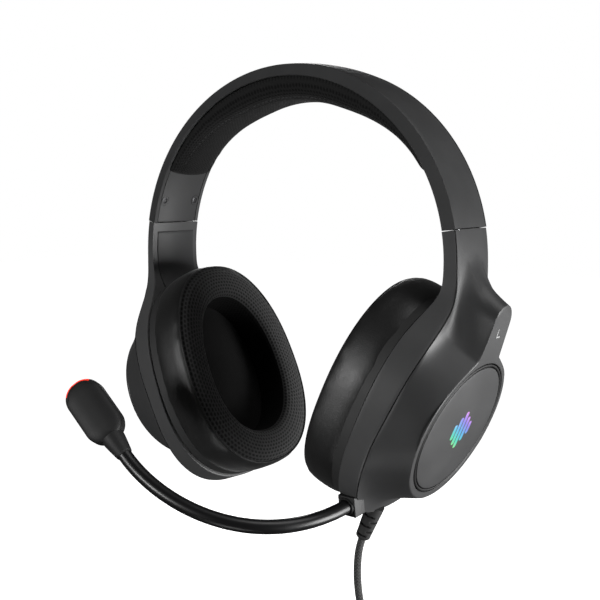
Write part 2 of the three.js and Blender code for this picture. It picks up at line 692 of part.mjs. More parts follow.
// ---------- Left cup only ----------
function volumeWheel() {
  const teeth = 30;
  const rim = Array.from({ length: 2 * teeth }, (_, i) => {
    const [t, r] = [(i * Math.PI) / teeth, WHEEL_R - (i % 2) * 0.5];
    return new THREE.Vector2(r * Math.cos(t), r * Math.sin(t));
  });
  const shape = new THREE.Shape(rim);
  return new THREE.ExtrudeGeometry(shape, { depth: WHEEL_T, bevelEnabled: false })
    .rotateY(Math.PI / 2).translate(WHEEL_D - WHEEL_T / 2, WHEEL_Y, WHEEL_U);
}

// A stepped block: the wide flange stays behind the wall, the narrow cap comes through it.
function muteButton() {
  const step = (y, grow) => [[-1, -1], [1, -1], [1, 1], [-1, 1]].map(([a, b]) =>
    v3(BUTTON_D + a * (BUTTON_W / 2 + grow), y, BUTTON_U + b * (BUTTON_L / 2 + grow)));
  return loft([step(BUTTON_Y - 7.4, 1), step(BUTTON_Y - 6.2, 1), step(BUTTON_Y - 6.2, 0),
    step(BUTTON_Y - 0.6, 0), step(BUTTON_Y, -0.6)]);
}

// ---------- Microphone ----------
const boomCurve = new THREE.CubicBezierCurve3(...BOOM.map((p) => v3(...p)));
boomCurve.arcLengthDivisions = 400;
const BOOM_L = boomCurve.getLength();
// A point on the boom by distance; before its start the line runs straight on into the socket.
const boomPoint = (s) => (s < 0
  ? v3(...BOOM[0]).addScaledVector(boomCurve.getTangentAt(0), s)
  : boomCurve.getPointAt(Math.min(1, s / BOOM_L)));

function boomPiece(from, to, steps) {
  const points = Array.from({ length: 12 }, (_, i) => boomPoint(from + ((to - from) * i) / 11));
  const path = new THREE.CatmullRomCurve3(points);
  return new THREE.ExtrudeGeometry(disc(BOOM_R, 10), { steps, extrudePath: path });
}

// Frame of the microphone head: x to the front, z along the boom's end.
const HEAD_BASIS = (() => {
  const front = v3(0, -1, 0).addScaledVector(HEAD_AXIS, HEAD_AXIS.y).normalize();
  const across = HEAD_AXIS.clone().cross(front);
  const turn = new THREE.Matrix4().makeRotationZ(HEAD_TURN * RAD);
  return new THREE.Matrix4().makeBasis(front, across, HEAD_AXIS).setPosition(...BOOM[3]).multiply(turn);
})();
const atHead = (geometry) => geometry.applyMatrix4(HEAD_BASIS);

// The head's long rounded outline at one height, as [across, along] points.
function headRing(x, grow) {
  const r = HEAD_HALF - 0.6;
  const flat = HEAD_HALF - r;
  const ring = [];
  for (const [centre, start] of [[HEAD_FROM + HEAD_L - r, 0], [HEAD_FROM + r, Math.PI]]) {
    for (let i = 0; i <= 8; i += 1) {
      const t = start + (i * Math.PI) / 8;
      const side = Math.abs(Math.cos(t)) < 1e-6 ? 0 : Math.sign(Math.cos(t)) * flat;
      ring.push(v3(x, (r + grow) * Math.cos(t) + side, centre + (r + grow) * Math.sin(t)));
    }
  }
  return ring;
}

function micHead() {
  const tip = HEAD_FROM + HEAD_L;
  const front = cut(
    loft([headRing(HEAD_SEAM + GAP, -TIP_LIP), headRing(HEAD_FRONT - 1.4, -TIP_LIP),
      headRing(HEAD_FRONT - 0.4, -TIP_LIP - 0.8), headRing(HEAD_FRONT, -TIP_LIP - 2.4)]),
    rod(HEAD_SEAM - 1, HEAD_SEAM + 1.6, 4.5, 0, tip - 13),
  );
  const lipCut = loft([headRing(HEAD_SEAM - 0.01, -TIP_LIP + GAP), headRing(HEAD_SEAM + 4, -TIP_LIP + GAP)]);
  const whole = loft([headRing(-HEAD_BACK, -3.2), headRing(-HEAD_BACK + 0.8, -1.2), headRing(-HEAD_BACK + 2.8, 0),
    headRing(HEAD_SEAM + 1.5, 0), headRing(HEAD_SEAM + 2.1, -0.3)]);
  const lower = box(HEAD_SEAM + 5, 0, HEAD_FROM + 8, 10, 30, 30);
  const groove = arcStrip(LIGHT_R - 0.5, LIGHT_R + 0.5, HEAD_SEAM + 0.6, 7);
  const pocket = rod(-3.4, HEAD_SEAM + 2, 4.5, 0, tip - 13);
  const back = cut(whole, lipCut, lower, groove, pocket);
  const light = arcStrip(LIGHT_R - 0.22, LIGHT_R + 0.22, HEAD_SEAM + 0.9, HEAD_SEAM + 1.9);
  const capsule = rod(-3, HEAD_SEAM + 1, 4, 0, tip - 13, 20);
  const profile = [[0, GAP], [3.7, GAP], [5.15, HEAD_FROM - GAP], [0, HEAD_FROM - GAP]];
  const collar = merged(new THREE.LatheGeometry(profile.map(([r, z]) => new THREE.Vector2(r, z)), 20)
    .rotateX(Math.PI / 2));
  return { front, back, light, capsule, collar };
}

// A strip that follows the head's rounded tip, between two radii and two heights.
function arcStrip(r0, r1, low, high) {
  const centre = HEAD_FROM + HEAD_L - (HEAD_HALF - 0.6);
  const rings = [];
  for (let i = 0; i <= 12; i += 1) {
    const t = Math.PI / 2 + LIGHT_TURN + ((i - 6) / 6) * LIGHT_HALF;
    rings.push([[low, r0], [low, r1], [high, r1], [high, r0]]
      .map(([x, r]) => v3(x, r * Math.cos(t), centre + r * Math.sin(t))));
  }
  return loft(rings);
}

function micSocket() {
  const along = boomCurve.getTangentAt(0);
  const up = v3(0, 0, 1).addScaledVector(along, -along.z).normalize();
  const basis = new THREE.Matrix4().makeBasis(along, up, along.clone().cross(up)).setPosition(...BOOM[0]);
  const block = box(-SOCKET / 2, 0, 0, SOCKET, SOCKET, SOCKET).applyMatrix4(basis);
  const bore = rod(-3, 1, BOOM_R + 0.4, 0, 0, 20).applyMatrix4(basis);
  const [rim, seam] = [inset(RIM_OUTLINE, -GAP), inset(SEAM_OUTLINE, -GAP)];
  const tools = [
    intoCup(bore),
    slab(rim, (u) => innerDepth(u) - GAP, seam, seamDepth),
    slab(seam, (u) => seamDepth(u) - 0.5, seam, (u) => seamDepth(u) + 12),
  ];
  const ring = torus([[GAP, 3.6], [GAP + 1, 3.6], [GAP + 1, 4.1], [GAP, 4.3]].map(([x, r]) =>
    Array.from({ length: 20 }, (_, i) => {
      const t = (i * Math.PI) / 10;
      return v3(x, r * Math.cos(t), r * Math.sin(t));
    })));
  return { block: cut(intoCup(block), ...tools), ring: ring.applyMatrix4(basis) };
}

// ---------- Cord ----------
// Stepped relief along the cord's way out of the cup: [radius, distance] from its root.
function strainRelief() {
  const steps = 5;
  const profile = [[0, 0]];
  for (let i = 0; i < steps; i += 1) {
    const [from, r] = [(i * RELIEF_L) / steps, RELIEF_R - (0.85 * i) / (steps - 1)];
    profile.push([r, from], [r, from + RELIEF_L / steps - 1], [r - 0.8, from + RELIEF_L / steps - 1]);
    if (i < steps - 1) profile.push([r - 0.8, from + RELIEF_L / steps]);
  }
  profile.push([0, RELIEF_L - 1]);
  return merged(new THREE.LatheGeometry(profile.map(([r, z]) => new THREE.Vector2(r, -z)), 16)
    .rotateX(Math.PI / 2)).translate(RELIEF_D, RELIEF_Y, RELIEF_U);
}

// A tapered block standing on z: [z, half width, half depth].
const tapered = (x, y, levels) => loft(levels.map(([z, w, d]) =>
  [[-1, -0.6], [-0.6, -1], [0.6, -1], [1, -0.6], [1, 0.6], [0.6, 1], [-0.6, 1], [-1, 0.6]]
    .map(([a, b]) => v3(x + a * w, y + b * d, z))));

function cordPieces() {
  const path = new THREE.CatmullRomCurve3(CORD_PATH.map((p) => v3(...p)));
  add("cord", new THREE.ExtrudeGeometry(disc(CORD_D / 2, 8), { steps: 20, extrudePath: path }), FABRIC);
  const coil = new THREE.TorusGeometry(COIL_MID_R, COIL_HALF, 10, 28).rotateX(Math.PI / 2);
  add("cord_coil", merged(coil.translate(...COIL_CENTRE)), FABRIC);
  const section = [[COIL_HALF + 0.7, -3], [COIL_HALF + 1.7, -3], [COIL_HALF + 1.7, 3], [COIL_HALF + 0.7, 3]];
  const strap = torus(section.map(([r, z]) => Array.from({ length: 16 }, (_, i) => {
    const t = (i * Math.PI) / 8;
    return v3(r * Math.cos(t) - COIL_MID_R, r * Math.sin(t), z);
  })));
  add("cord_tie", strap.translate(...COIL_CENTRE), RUBBER);
  const [x, y] = [COIL_CENTRE[0] + COIL_MID_R, COIL_CENTRE[1]];
  const length = TAIL_TOP - PLUG_TOP - GAP;
  const tail = new THREE.CylinderGeometry(CORD_D / 2, CORD_D / 2, length, 8).rotateX(Math.PI / 2);
  add("cord_tail", tail.translate(x, y, (TAIL_TOP + PLUG_TOP + GAP) / 2), FABRIC);
  add("usb_plug_body", tapered(x, y, [[PLUG_TOP, 2.6, 2.6], [PLUG_TOP - 8, 3.1, 3.1], [PLUG_TOP - 9, 8, 4.2],
    [PLUG_TOP - 27, 8, 4.2], [PLUG_TOP - 28, 7.4, 3.6]]), RUBBER);
  const shell = box(x, y, PLUG_TOP - 34.3, 12, 4.5, 12);
  add("usb_plug_shell", cut(shell, box(x, y + 0.9, PLUG_TOP - 39, 11.2, 1.9, 18)), STEEL);
}

// ---------- Assembly ----------
headband();
cushion();
endPlates();

const cups = {};
for (const [side, word] of [[1, "left"], [-1, "right"]]) {
  const cup = new THREE.Group();
  cup.position.set(side * CUP_X, 0, CUP_Z);
  cup.rotation.y = side * TILT * RAD;
  meshes.add(cup);
  cups[word] = cup;
  const put = (name, geometry, material) =>
    add(`${name}_${word}`, side > 0 ? geometry : mirrored(geometry), material, cup);
  put("housing_outer", outerHousing(side > 0 ? 0 : TONGUE_SINK), SHELL);
  put("housing_inner", innerHousing(side > 0), TRIM);
  put("arm_plate", armPanel(PANEL_HALF, PANEL_TOP, PANEL_FOOT, 0, 1.1), TRIM);
  put("pad_ring", padRing(), DARK);
  put("baffle", baffle(), DARK);
  put("speaker_cloth", loft([eggRing(PAD, PAD_BACK + 0.2, -6), eggRing(PAD, PAD_BACK + 0.6, -6)]), FABRIC);
  put("driver", driver(), STEEL);
  put("ear_pad", earPad(), LEATHER);
  put("disc_ring", discRing(), DARK);
  put("disc_cover", discCover(), SHELL);
  put("emblem_lens", emblemLens(), LAMP);
  put("led_board", ledBoard(), BOARD);
  put("slider_blade", intoCup(sliderBlade()), STEEL);
  put("detent_spring", intoCup(detentSpring()), STEEL);
}

const mic = micHead();
const socket = micSocket();
add("main_board", box(36.6, 0, -8, 1.2, 36, 44), BOARD, cups.left);
add("volume_wheel", volumeWheel(), RUBBER, cups.left);
add("mute_button", muteButton(), RUBBER, cups.left);
add("mic_socket", socket.block, TRIM, cups.left);
add("mic_grommet", socket.ring, RUBBER);
add("gooseneck_root", boomPiece(-1.5, PIVOT_LOW - PIVOT_GAP / 2, 4), GLOSS);
add("gooseneck_lower", boomPiece(PIVOT_LOW + PIVOT_GAP / 2, PIVOT_MID - PIVOT_GAP / 2, 14), GLOSS);
add("gooseneck_upper", boomPiece(PIVOT_MID + PIVOT_GAP / 2, BOOM_L, 16), GLOSS);
add("mic_neck", atHead(mic.collar), TRIM);
add("mic_shell_front", atHead(mic.front), SHELL);
add("mic_shell_back", atHead(mic.back), TRIM);
add("mic_light", atHead(mic.light), RED_LAMP);
add("mic_capsule", atHead(mic.capsule), STEEL);
add("strain_relief", strainRelief(), RUBBER, cups.left);
cordPieces();

export default meshes;
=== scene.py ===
"""Looks of an over-ear gaming headset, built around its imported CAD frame.

Sizes are millimetres until a mesh is made.
"""
import math

import bpy
import bmesh
import numpy as np
from mathutils import Matrix, Vector


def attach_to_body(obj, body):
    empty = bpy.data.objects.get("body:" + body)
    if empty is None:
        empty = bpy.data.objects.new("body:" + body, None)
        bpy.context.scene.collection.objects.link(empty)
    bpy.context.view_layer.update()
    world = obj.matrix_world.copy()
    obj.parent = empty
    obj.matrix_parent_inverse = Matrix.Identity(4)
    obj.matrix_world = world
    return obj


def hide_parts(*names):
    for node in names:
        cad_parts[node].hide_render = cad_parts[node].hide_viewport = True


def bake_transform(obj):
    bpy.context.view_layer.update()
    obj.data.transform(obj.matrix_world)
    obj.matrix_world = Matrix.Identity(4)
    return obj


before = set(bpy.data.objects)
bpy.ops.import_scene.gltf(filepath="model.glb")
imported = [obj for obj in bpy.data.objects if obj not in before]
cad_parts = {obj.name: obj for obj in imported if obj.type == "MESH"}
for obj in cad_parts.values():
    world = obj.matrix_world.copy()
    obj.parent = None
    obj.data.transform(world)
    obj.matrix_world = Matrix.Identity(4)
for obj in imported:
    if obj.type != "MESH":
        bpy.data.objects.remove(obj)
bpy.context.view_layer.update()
MM = 0.001
GAP = 0.3

# ---------- Dimensions, as in part.mjs ----------
ARCH_R = 90.5
BAND_CROWN = 1.0
CUSHION_R = 73.6
ARCH_Z = -CUSHION_R
COVER_HALF = 15.1
BAND_HALF = 17.35
INNER_R = 84.85
SPLIT_A = 9.8
ARM_END = SPLIT_A - 0.25
CUSHION_A = 28
STITCH_AT = 0.66
PLATE_HALF = 14.5
SCREW_A = 17.6
SCREW_Y = 11.7
CUP_X = 38.4
CUP_Z = -129.7
TILT = math.radians(23.45)
PAD = dict(a=54, b=44, n=2.3, e=0.05, u=-0.5)
PAD_HOLE = dict(a=35.5, b=26.5, n=2.2, e=0.05, u=-0.5)
RIM = dict(a=54, b=44, n=2.35, e=0.06, u=-0.5)
BAND = dict(a=52, b=41.2, n=2.5, e=0.06, u=-2)
PAD_BACK = 16.3
RING_FROM = 16.8
RING_TO = 21.6
DISC_U = 0.9
DISC_R = 33.4
PLATE_R = 36
PLATE_DEPTH = 50.2
TONGUE_TOP = 62.5
TONGUE_HALF = 8.4
NECK_BLEND = 9
RECESS = 2.2
SLOPE_REACH = 19
SLOPE_POWER = 1.45
TONGUE_FROM = 34
TONGUE_SINK = {1: 0, -1: 10}
PANEL_A = 6.25
PANEL_HALF = 13.6
PANEL_FOOT = 48
SEAM = [(-60, 32.2), (-10, 32.4), (8, 33.8), (22, 34.4), (36, 34.5), (46, 33.7), (57.8, 31.7)]
INNER = [(-60, 22), (40, 22), (47, 22.5), (54, 23.8), (60, 24)]
BLADE_X = 86.9
WHEEL = dict(r=9, t=3.6, d=27.5, y=35.5, u=-16)
BUTTON = dict(d=27.5, u=10, y=43, w=4, l=8)
BOOM = [(46.9, -34.5, -183), (39.5, -92.6, -191.8), (-9.4, -95.6, -177.8), (-31.4, -94.4, -158.4)]
BOOM_R = 3.2
HEAD_AXIS = Vector((-0.75, 0.04, 0.66)).normalized()
HEAD_FROM = 8.9
HEAD_TURN = math.radians(33)
HEAD_L = 33
HEAD_HALF = 9
HEAD_FLAT = 0.6
HEAD_R = HEAD_HALF - HEAD_FLAT
HEAD_TOP = HEAD_FROM + HEAD_L - HEAD_R
HEAD_FRONT = 5.6
HEAD_BACK = 5.6
SOCKET = 9.6
SOCKET_L = 7.2
CORD_D = 3.7
RELIEF = dict(d=30.2, y=-6.8, u=-54.7, length=15.6, r=4.3)
COIL_R = 21.5
COIL_CENTRE = (30, -9, -281)
CORD_PATH = [(36.7, -7.2, -212), (36.3, -8.2, -221), (37.3, -9, -231), (39.6, -9, -242.5), (42.4, -9, -252.5)]
PLUG_TOP = -322

# ---------- Dimensions of the looks alone ----------
ARM_TOP = 62
ARM_FOOT = 33
BAND_STEPS = 150
PAD_SIDES = 240
MESH_CELLS = 114
MESH_CELL = (2.2, 1.75)
DOME_R = 31.3
DOME_RISE = 1.15
BARS = (4.0, 7.2, 9.6, 6.4, 3.4)
BAR_HALF = 1.3
BAR_PITCH = 3.5
LETTER = dict(foot=47.6, size=3.6, stroke=0.62, middle=1.1)
COIL_TURNS = 14
BUNDLE_R = 6.3
CORE_R = 2.65
TIE = dict(r=8.75, lap=1.15, t=0.9, half=3.6, turns=1.12)
LENS = 65.65
CAMERA_AT = (0.306944, -0.436508, -0.037828)
CAMERA_AXES = ((0.8151989, 0.5791811, 0), (-0.06252433, 0.08800316, 0.994156),
               (0.57579637, -0.81043488, 0.10795299))
AMBIENT = 0.06


# ---------- Mesh helpers ----------
def mesh_piece(name, verts, faces, material, uvs=None, angle=35):
    """A mesh object from millimetre points; uvs is one (u, v) a vertex."""
    me = bpy.data.meshes.new(name)
    me.from_pydata((np.asarray(verts, float) * MM).tolist(), [], [tuple(f) for f in faces])
    me.validate()
    if uvs is not None:
        layer = me.uv_layers.new(name="UVMap")
        corner = np.empty(len(me.loops), int)
        me.loops.foreach_get("vertex_index", corner)
        layer.data.foreach_set("uv", np.asarray(uvs, float)[corner].ravel())
    me.materials.append(material)
    piece = bpy.data.objects.new(name, me)
    bpy.context.scene.collection.objects.link(piece)
    soften(piece, angle)
    return piece


def soften(piece, angle=35):
    """Smooth shading, with edges sharper than an angle left sharp."""
    me = piece.data
    me.polygons.foreach_set("use_smooth", [True] * len(me.polygons))
    me.set_sharp_from_angle(angle=math.radians(angle))


def edit_mesh(piece, work):
    bm = bmesh.new()
    bm.from_mesh(piece.data)
    work(bm)
    bm.to_mesh(piece.data)
    bm.free()
    return piece


def face_out(bm):
    bmesh.ops.recalc_face_normals(bm, faces=bm.faces)


def outward(piece):
    return edit_mesh(piece, face_out)


def apply_modifiers(piece):
    graph = bpy.context.evaluated_depsgraph_get()
    graph.update()
    baked = bpy.data.meshes.new_from_object(piece.evaluated_get(graph))
    old = piece.data
    piece.modifiers.clear()
    piece.data = baked
    bpy.data.meshes.remove(old)
    return piece


def cut(piece, *tools, angle=35):
    """Takes the tools out of a piece, which keeps one material, and removes them."""
    material = piece.data.materials[0]
    for tool in tools:
        m = piece.modifiers.new("cut", "BOOLEAN")
        m.operation = "DIFFERENCE"
        m.solver = "EXACT"
        m.object = tool
    apply_modifiers(piece)
    for tool in tools:
        bpy.data.objects.remove(tool)
    piece.data.materials.clear()
    piece.data.materials.append(material)
    soften(piece, angle)
    return piece


def bevel(piece, width, segments=2, angle=40):
    m = piece.modifiers.new("edge", "BEVEL")
    m.width = width * MM
    m.segments = segments
    m.limit_method = "ANGLE"
    m.angle_limit = math.radians(angle)
    m.use_clamp_overlap = True
    apply_modifiers(piece)
    soften(piece)
    return piece


def ring_faces(count, size, closed):
    """Four-sided faces between rings of points that follow one another."""
    faces = []
    for k in range(count if closed else count - 1):
        a, b = k * size, ((k + 1) % count) * size
        for i in range(size):
            j = (i + 1) % size
            faces.append((a + i, a + j, b + j, b + i))
    return faces


def loft(name, rings, material, cap="fan", uvs=None, angle=35):
    """A closed solid through rings of equal length."""
    rings = [np.asarray(r, float) for r in rings]
    size = len(rings[0])
    faces = ring_faces(len(rings), size, False)
    end = (len(rings) - 1) * size
    if cap == "fan":
        faces += [tuple(range(size))[::-1], tuple(range(end, end + size))]
    else:
        half = size // 2
        strips = [(0, 1, size - 1)] + [(i, i + 1, size - i - 1, size - i) for i in range(1, half - 1)]
        strips.append((half - 1, half, half + 1))
        faces += [f[::-1] for f in strips] + [tuple(end + i for i in f) for f in strips]
    return outward(mesh_piece(name, np.vstack(rings), faces, material, uvs, angle))


def torus(name, rings, material, uvs=None, angle=35):
    """A ring-shaped solid whose rings follow its cross-section and close on themselves."""
    faces = ring_faces(len(rings), len(rings[0]), True)
    return outward(mesh_piece(name, np.vstack(rings), faces, material, uvs, angle))


def box(name, centre, size, material):
    x, y, z = (s / 2 for s in size)
    verts = [(sx * x, sy * y, sz * z) for sx in (-1, 1) for sy in (-1, 1) for sz in (-1, 1)]
    faces = [(0, 1, 3, 2), (4, 6, 7, 5), (0, 4, 5, 1), (2, 3, 7, 6), (0, 2, 6, 4), (1, 5, 7, 3)]
    return mesh_piece(name, np.array(verts) + np.array(centre), faces, material)


def circle(r, z, sides):
    t = np.arange(sides) * 2 * math.pi / sides
    return np.column_stack([r * np.cos(t), r * np.sin(t), np.full(sides, z)])


def turned(name, profile, matrix, material, sides=64):
    """A lathe about local z; profile points are (radius, z), from axis to axis."""
    inner = profile[1:-1]
    verts = [circle(r, z, sides) for r, z in inner]
    tips = np.array([(0, 0, profile[0][1]), (0, 0, profile[-1][1])])
    faces = ring_faces(len(inner), sides, False)
    n = len(inner) * sides
    faces += [(n, (i + 1) % sides, i) for i in range(sides)]
    faces += [(n + 1, n - sides + i, n - sides + (i + 1) % sides) for i in range(sides)]
    points = np.vstack(verts + [tips])
    return outward(mesh_piece(name, transform(points, matrix), faces, material))


def turned_ring(name, profile, matrix, material, sides=128):
    return torus(name, [transform(circle(r, z, sides), matrix) for r, z in profile], material)


def transform(points, matrix):
    """Points moved by a 4 x 4 matrix."""
    m = np.array(matrix)
    return np.asarray(points, float) @ m[:3, :3].T + m[:3, 3]


def in_frame(piece, m):
    """Moves a piece's mesh into a frame given in millimetres."""
    for step in (Matrix.Scale(1000, 4), m, Matrix.Scale(MM, 4)):
        piece.data.transform(step)
    return piece


def way_along(line):
    """Each point's distance along a line."""
    return np.concatenate([[0], np.cumsum(np.linalg.norm(np.diff(line, axis=0), axis=1))])


def point_at(line, at):
    """Points of a line at distances along it."""
    s = way_along(line)
    return np.column_stack([np.interp(at, s, column) for column in np.transpose(line)])


def curve(p, s, at):
    """Points of a smooth curve that passes p at the distances s."""
    slopes = np.gradient(p, s, axis=0)
    k = np.clip(np.searchsorted(s, at, side="right") - 1, 0, len(s) - 2)
    h = (s[k + 1] - s[k])[:, None]
    t = (at - s[k])[:, None] / h
    return ((2 * t ** 3 - 3 * t ** 2 + 1) * p[k] + (t ** 3 - 2 * t ** 2 + t) * h * slopes[k]
            + (3 * t ** 2 - 2 * t ** 3) * p[k + 1] + (t ** 3 - t ** 2) * h * slopes[k + 1])


def smooth(t):
    t = np.clip(t, 0, 1)
    return t * t * (3 - 2 * t)


def tube(name, points, radius, material, sides):
    """A tube along points, with UVs of (turns around, millimetres along)."""
    points = np.asarray(points, float)
    tangents = np.gradient(points, axis=0)
    tangents /= np.linalg.norm(tangents, axis=1)[:, None]
    normal = np.cross(tangents[0], (0.3, 0.2, 0.93))
    normal /= np.linalg.norm(normal)
    angles = np.arange(sides + 1) * 2 * math.pi / sides
    rings, uvs = [], []
    for p, t, s in zip(points, tangents, way_along(points)):
        normal = normal - t * normal.dot(t)
        normal /= np.linalg.norm(normal)
        side = np.cross(t, normal)
        rings.append(p + radius * (np.cos(angles)[:, None] * normal + np.sin(angles)[:, None] * side))
        uvs.append(np.column_stack([angles / (2 * math.pi), np.full(sides + 1, s)]))
    size = sides + 1
    faces = [(k * size + i, k * size + i + 1, (k + 1) * size + i + 1, (k + 1) * size + i)
             for k in range(len(points) - 1) for i in range(sides)]
    last = (len(points) - 1) * size
    faces += [tuple(range(sides))[::-1], tuple(range(last, last + sides))]

    def weld(bm):
        bmesh.ops.remove_doubles(bm, verts=bm.verts, dist=1e-6)
        face_out(bm)

    piece = edit_mesh(mesh_piece(name, np.vstack(rings), faces, material, np.vstack(uvs)), weld)
    soften(piece, 50)
    return piece


def attach(piece, body, slot, *nodes):
    """Says which body carries a piece and which CAD nodes it stands in for; slot, what it is made of, is not
    used.
    """
    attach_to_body(piece, body)
    if nodes:
        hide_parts(*nodes)
    return piece


# ---------- Materials ----------
def add_node(tree, kind, inputs=None, **settings):
    n = tree.nodes.new(kind)
    for key, value in settings.items():
        setattr(n, key, value)
    for key, value in (inputs or {}).items():
        socket = n.inputs[key]
        if isinstance(value, bpy.types.NodeSocket):
            tree.links.new(value, socket)
        else:
            socket.default_value = value
    return n


def maths(tree, operation, *values):
    return add_node(tree, "ShaderNodeMath", dict(enumerate(values)), operation=operation).outputs[0]


def blank(name, color, roughness, **sockets):
    m = bpy.data.materials.new(name)
    m.use_nodes = True
    shader = m.node_tree.nodes["Principled BSDF"]
    shader.inputs["Base Color"].default_value = (*color, 1)
    shader.inputs["Roughness"].default_value = roughness
    for key, value in sockets.items():
        shader.inputs[key.replace("_", " ")].default_value = value
    m.diffuse_color = (*color, 1)
    return m, m.node_tree, shader


def object_coords(tree):
    return add_node(tree, "ShaderNodeTexCoord").outputs["Object"]


def ramp(tree, factor, stops):
    r = add_node(tree, "ShaderNodeValToRGB", {"Fac": factor})
    elements = r.color_ramp.elements
    for place, color in stops[2:]:
        elements.new(place)
    for element, (place, color) in zip(elements, sorted(stops)):
        element.position = place
        element.color = (*color, 1) if len(color) == 3 else color
    return r.outputs["Color"]


def grey(v):
    return (v, v, v)


def grade(tree, shader, socket, factor, stops):
    tree.links.new(ramp(tree, factor, stops), shader.inputs[socket])


def bump(tree, shader, height, strength, distance):
    b = add_node(tree, "ShaderNodeBump", {"Height": height, "Strength": strength, "Distance": distance})
    tree.links.new(b.outputs["Normal"], shader.inputs["Normal"])


def noise(tree, vector, scale, detail, roughness=0.5):
    inputs = {"Vector": vector, "Scale": scale, "Detail": detail, "Roughness": roughness}
    return add_node(tree, "ShaderNodeTexNoise", inputs).outputs


def uv_parts(tree):
    uv = add_node(tree, "ShaderNodeUVMap", uv_map="UVMap").outputs["UV"]
    parts = add_node(tree, "ShaderNodeSeparateXYZ", {0: uv}).outputs
    return uv, parts["X"], parts["Y"]


def plastic(name, color, roughness=0.5, grain=0.35, speck=0.06, distance=0.00004):
    """Moulded plastic with a spark-eroded texture and faint handling marks."""
    m, tree, shader = blank(name, color, roughness, Specular_IOR_Level=0.42)
    coords = object_coords(tree)
    broad = noise(tree, coords, 55.0, 4.0, 0.55)["Fac"]
    low, high = (tuple(c * share for c in color) for share in (1 - speck, 1 + speck))
    grade(tree, shader, "Base Color", broad, [(0.3, low), (0.7, high)])
    grade(tree, shader, "Roughness", broad, [(0.25, grey(roughness - 0.035)), (0.75, grey(roughness + 0.04))])
    if distance:
        bump(tree, shader, noise(tree, coords, 1000 / grain, 3.0, 0.6)["Fac"], 0.5, distance)
    return m


def leatherette():
    """Satin synthetic leather: fine pebbled grain with softer, broader stretch marks."""
    m, tree, shader = blank("leatherette", (0.013, 0.013, 0.0135), 0.44, Specular_IOR_Level=0.5,
                            Sheen_Weight=0.12, Sheen_Roughness=0.35)
    coords = object_coords(tree)
    warp = noise(tree, coords, 240.0, 2.0)["Color"]
    mixed = add_node(tree, "ShaderNodeMix", {0: 0.004, 4: coords, 5: warp}, data_type="VECTOR")
    cells = add_node(tree, "ShaderNodeTexVoronoi", {"Vector": mixed.outputs[1], "Scale": 1150.0},
                     feature="DISTANCE_TO_EDGE")
    edge = ramp(tree, cells.outputs["Distance"], [(0.0, grey(0)), (0.22, grey(1))])
    broad = noise(tree, coords, 40.0, 3.0)["Fac"]
    grade(tree, shader, "Base Color", broad, [(0.3, grey(0.0065)), (0.7, grey(0.011))])
    grade(tree, shader, "Roughness", broad, [(0.3, grey(0.39)), (0.7, grey(0.5))])
    bump(tree, shader, edge, 0.35, 0.00006)
    return m


def knit(name, pitch_u, pitch_v, low, high, depth=0.00022, sheen=0.2):
    """Warp-knit mesh: rows of small staggered holes; the UVs are in millimetres."""
    m, tree, shader = blank(name, grey((low + high) / 2), 0.9, Specular_IOR_Level=0.2, Sheen_Weight=sheen,
                            Sheen_Roughness=0.5)
    uv, u, v = uv_parts(tree)
    row = maths(tree, "DIVIDE", v, pitch_v)
    shift = maths(tree, "MULTIPLY", maths(tree, "MODULO", maths(tree, "FLOOR", row), 2.0), 0.5)
    column = maths(tree, "ADD", maths(tree, "DIVIDE", u, pitch_u), shift)
    across = maths(tree, "SUBTRACT", maths(tree, "FRACT", column), 0.5)
    up = maths(tree, "SUBTRACT", maths(tree, "FRACT", row), 0.5)
    flat = maths(tree, "MULTIPLY", up, 1.15)
    r = maths(tree, "SQRT", maths(tree, "ADD", maths(tree, "MULTIPLY", across, across),
                                  maths(tree, "MULTIPLY", flat, flat)))
    hole = ramp(tree, r, [(0.27, grey(0)), (0.47, grey(1))])
    fuzz = noise(tree, uv, 6.0, 3.0)["Fac"]
    yarn = add_node(tree, "ShaderNodeMix", {0: 0.22, 2: hole, 3: fuzz}, data_type="FLOAT").outputs[0]
    grade(tree, shader, "Base Color", yarn, [(0.1, grey(low)), (0.95, grey(high))])
    bump(tree, shader, yarn, 0.9, depth)
    return m


def braid():
    """Braided cord jacket: strands crossing over and under; UVs are turns around and millimetres along."""
    m, tree, shader = blank("cord_braid", grey(0.03), 0.75, Specular_IOR_Level=0.3, Sheen_Weight=0.2)
    _, u, v = uv_parts(tree)
    around = maths(tree, "MULTIPLY", u, 8.0)
    along = maths(tree, "MULTIPLY", v, 0.62)
    p = maths(tree, "ADD", around, along)
    q = maths(tree, "SUBTRACT", around, along)
    cell = maths(tree, "ADD", maths(tree, "FLOOR", p), maths(tree, "FLOOR", q))
    parity = maths(tree, "MODULO", maths(tree, "ABSOLUTE", cell), 2.0)
    rise_p, rise_q = (maths(tree, "SINE", maths(tree, "MULTIPLY", maths(tree, "FRACT", way), math.pi))
                      for way in (p, q))
    strands = add_node(tree, "ShaderNodeMix", {0: parity, 2: rise_p, 3: rise_q}, data_type="FLOAT").outputs[0]
    grade(tree, shader, "Base Color", strands, [(0.2, grey(0.003)), (0.95, grey(0.075))])
    bump(tree, shader, strands, 1.0, 0.00025)
    return m


def metal(name, color, roughness):
    m, tree, shader = blank(name, color, roughness, Metallic=1.0)
    stretch = add_node(tree, "ShaderNodeMapping",
                       {"Vector": object_coords(tree), "Scale": (400.0, 400.0, 9000.0)})
    streaks = noise(tree, stretch.outputs[0], 1.0, 2.0)["Fac"]
    grade(tree, shader, "Roughness", streaks, [(0.3, grey(roughness - 0.06)), (0.7, grey(roughness + 0.08))])
    return m


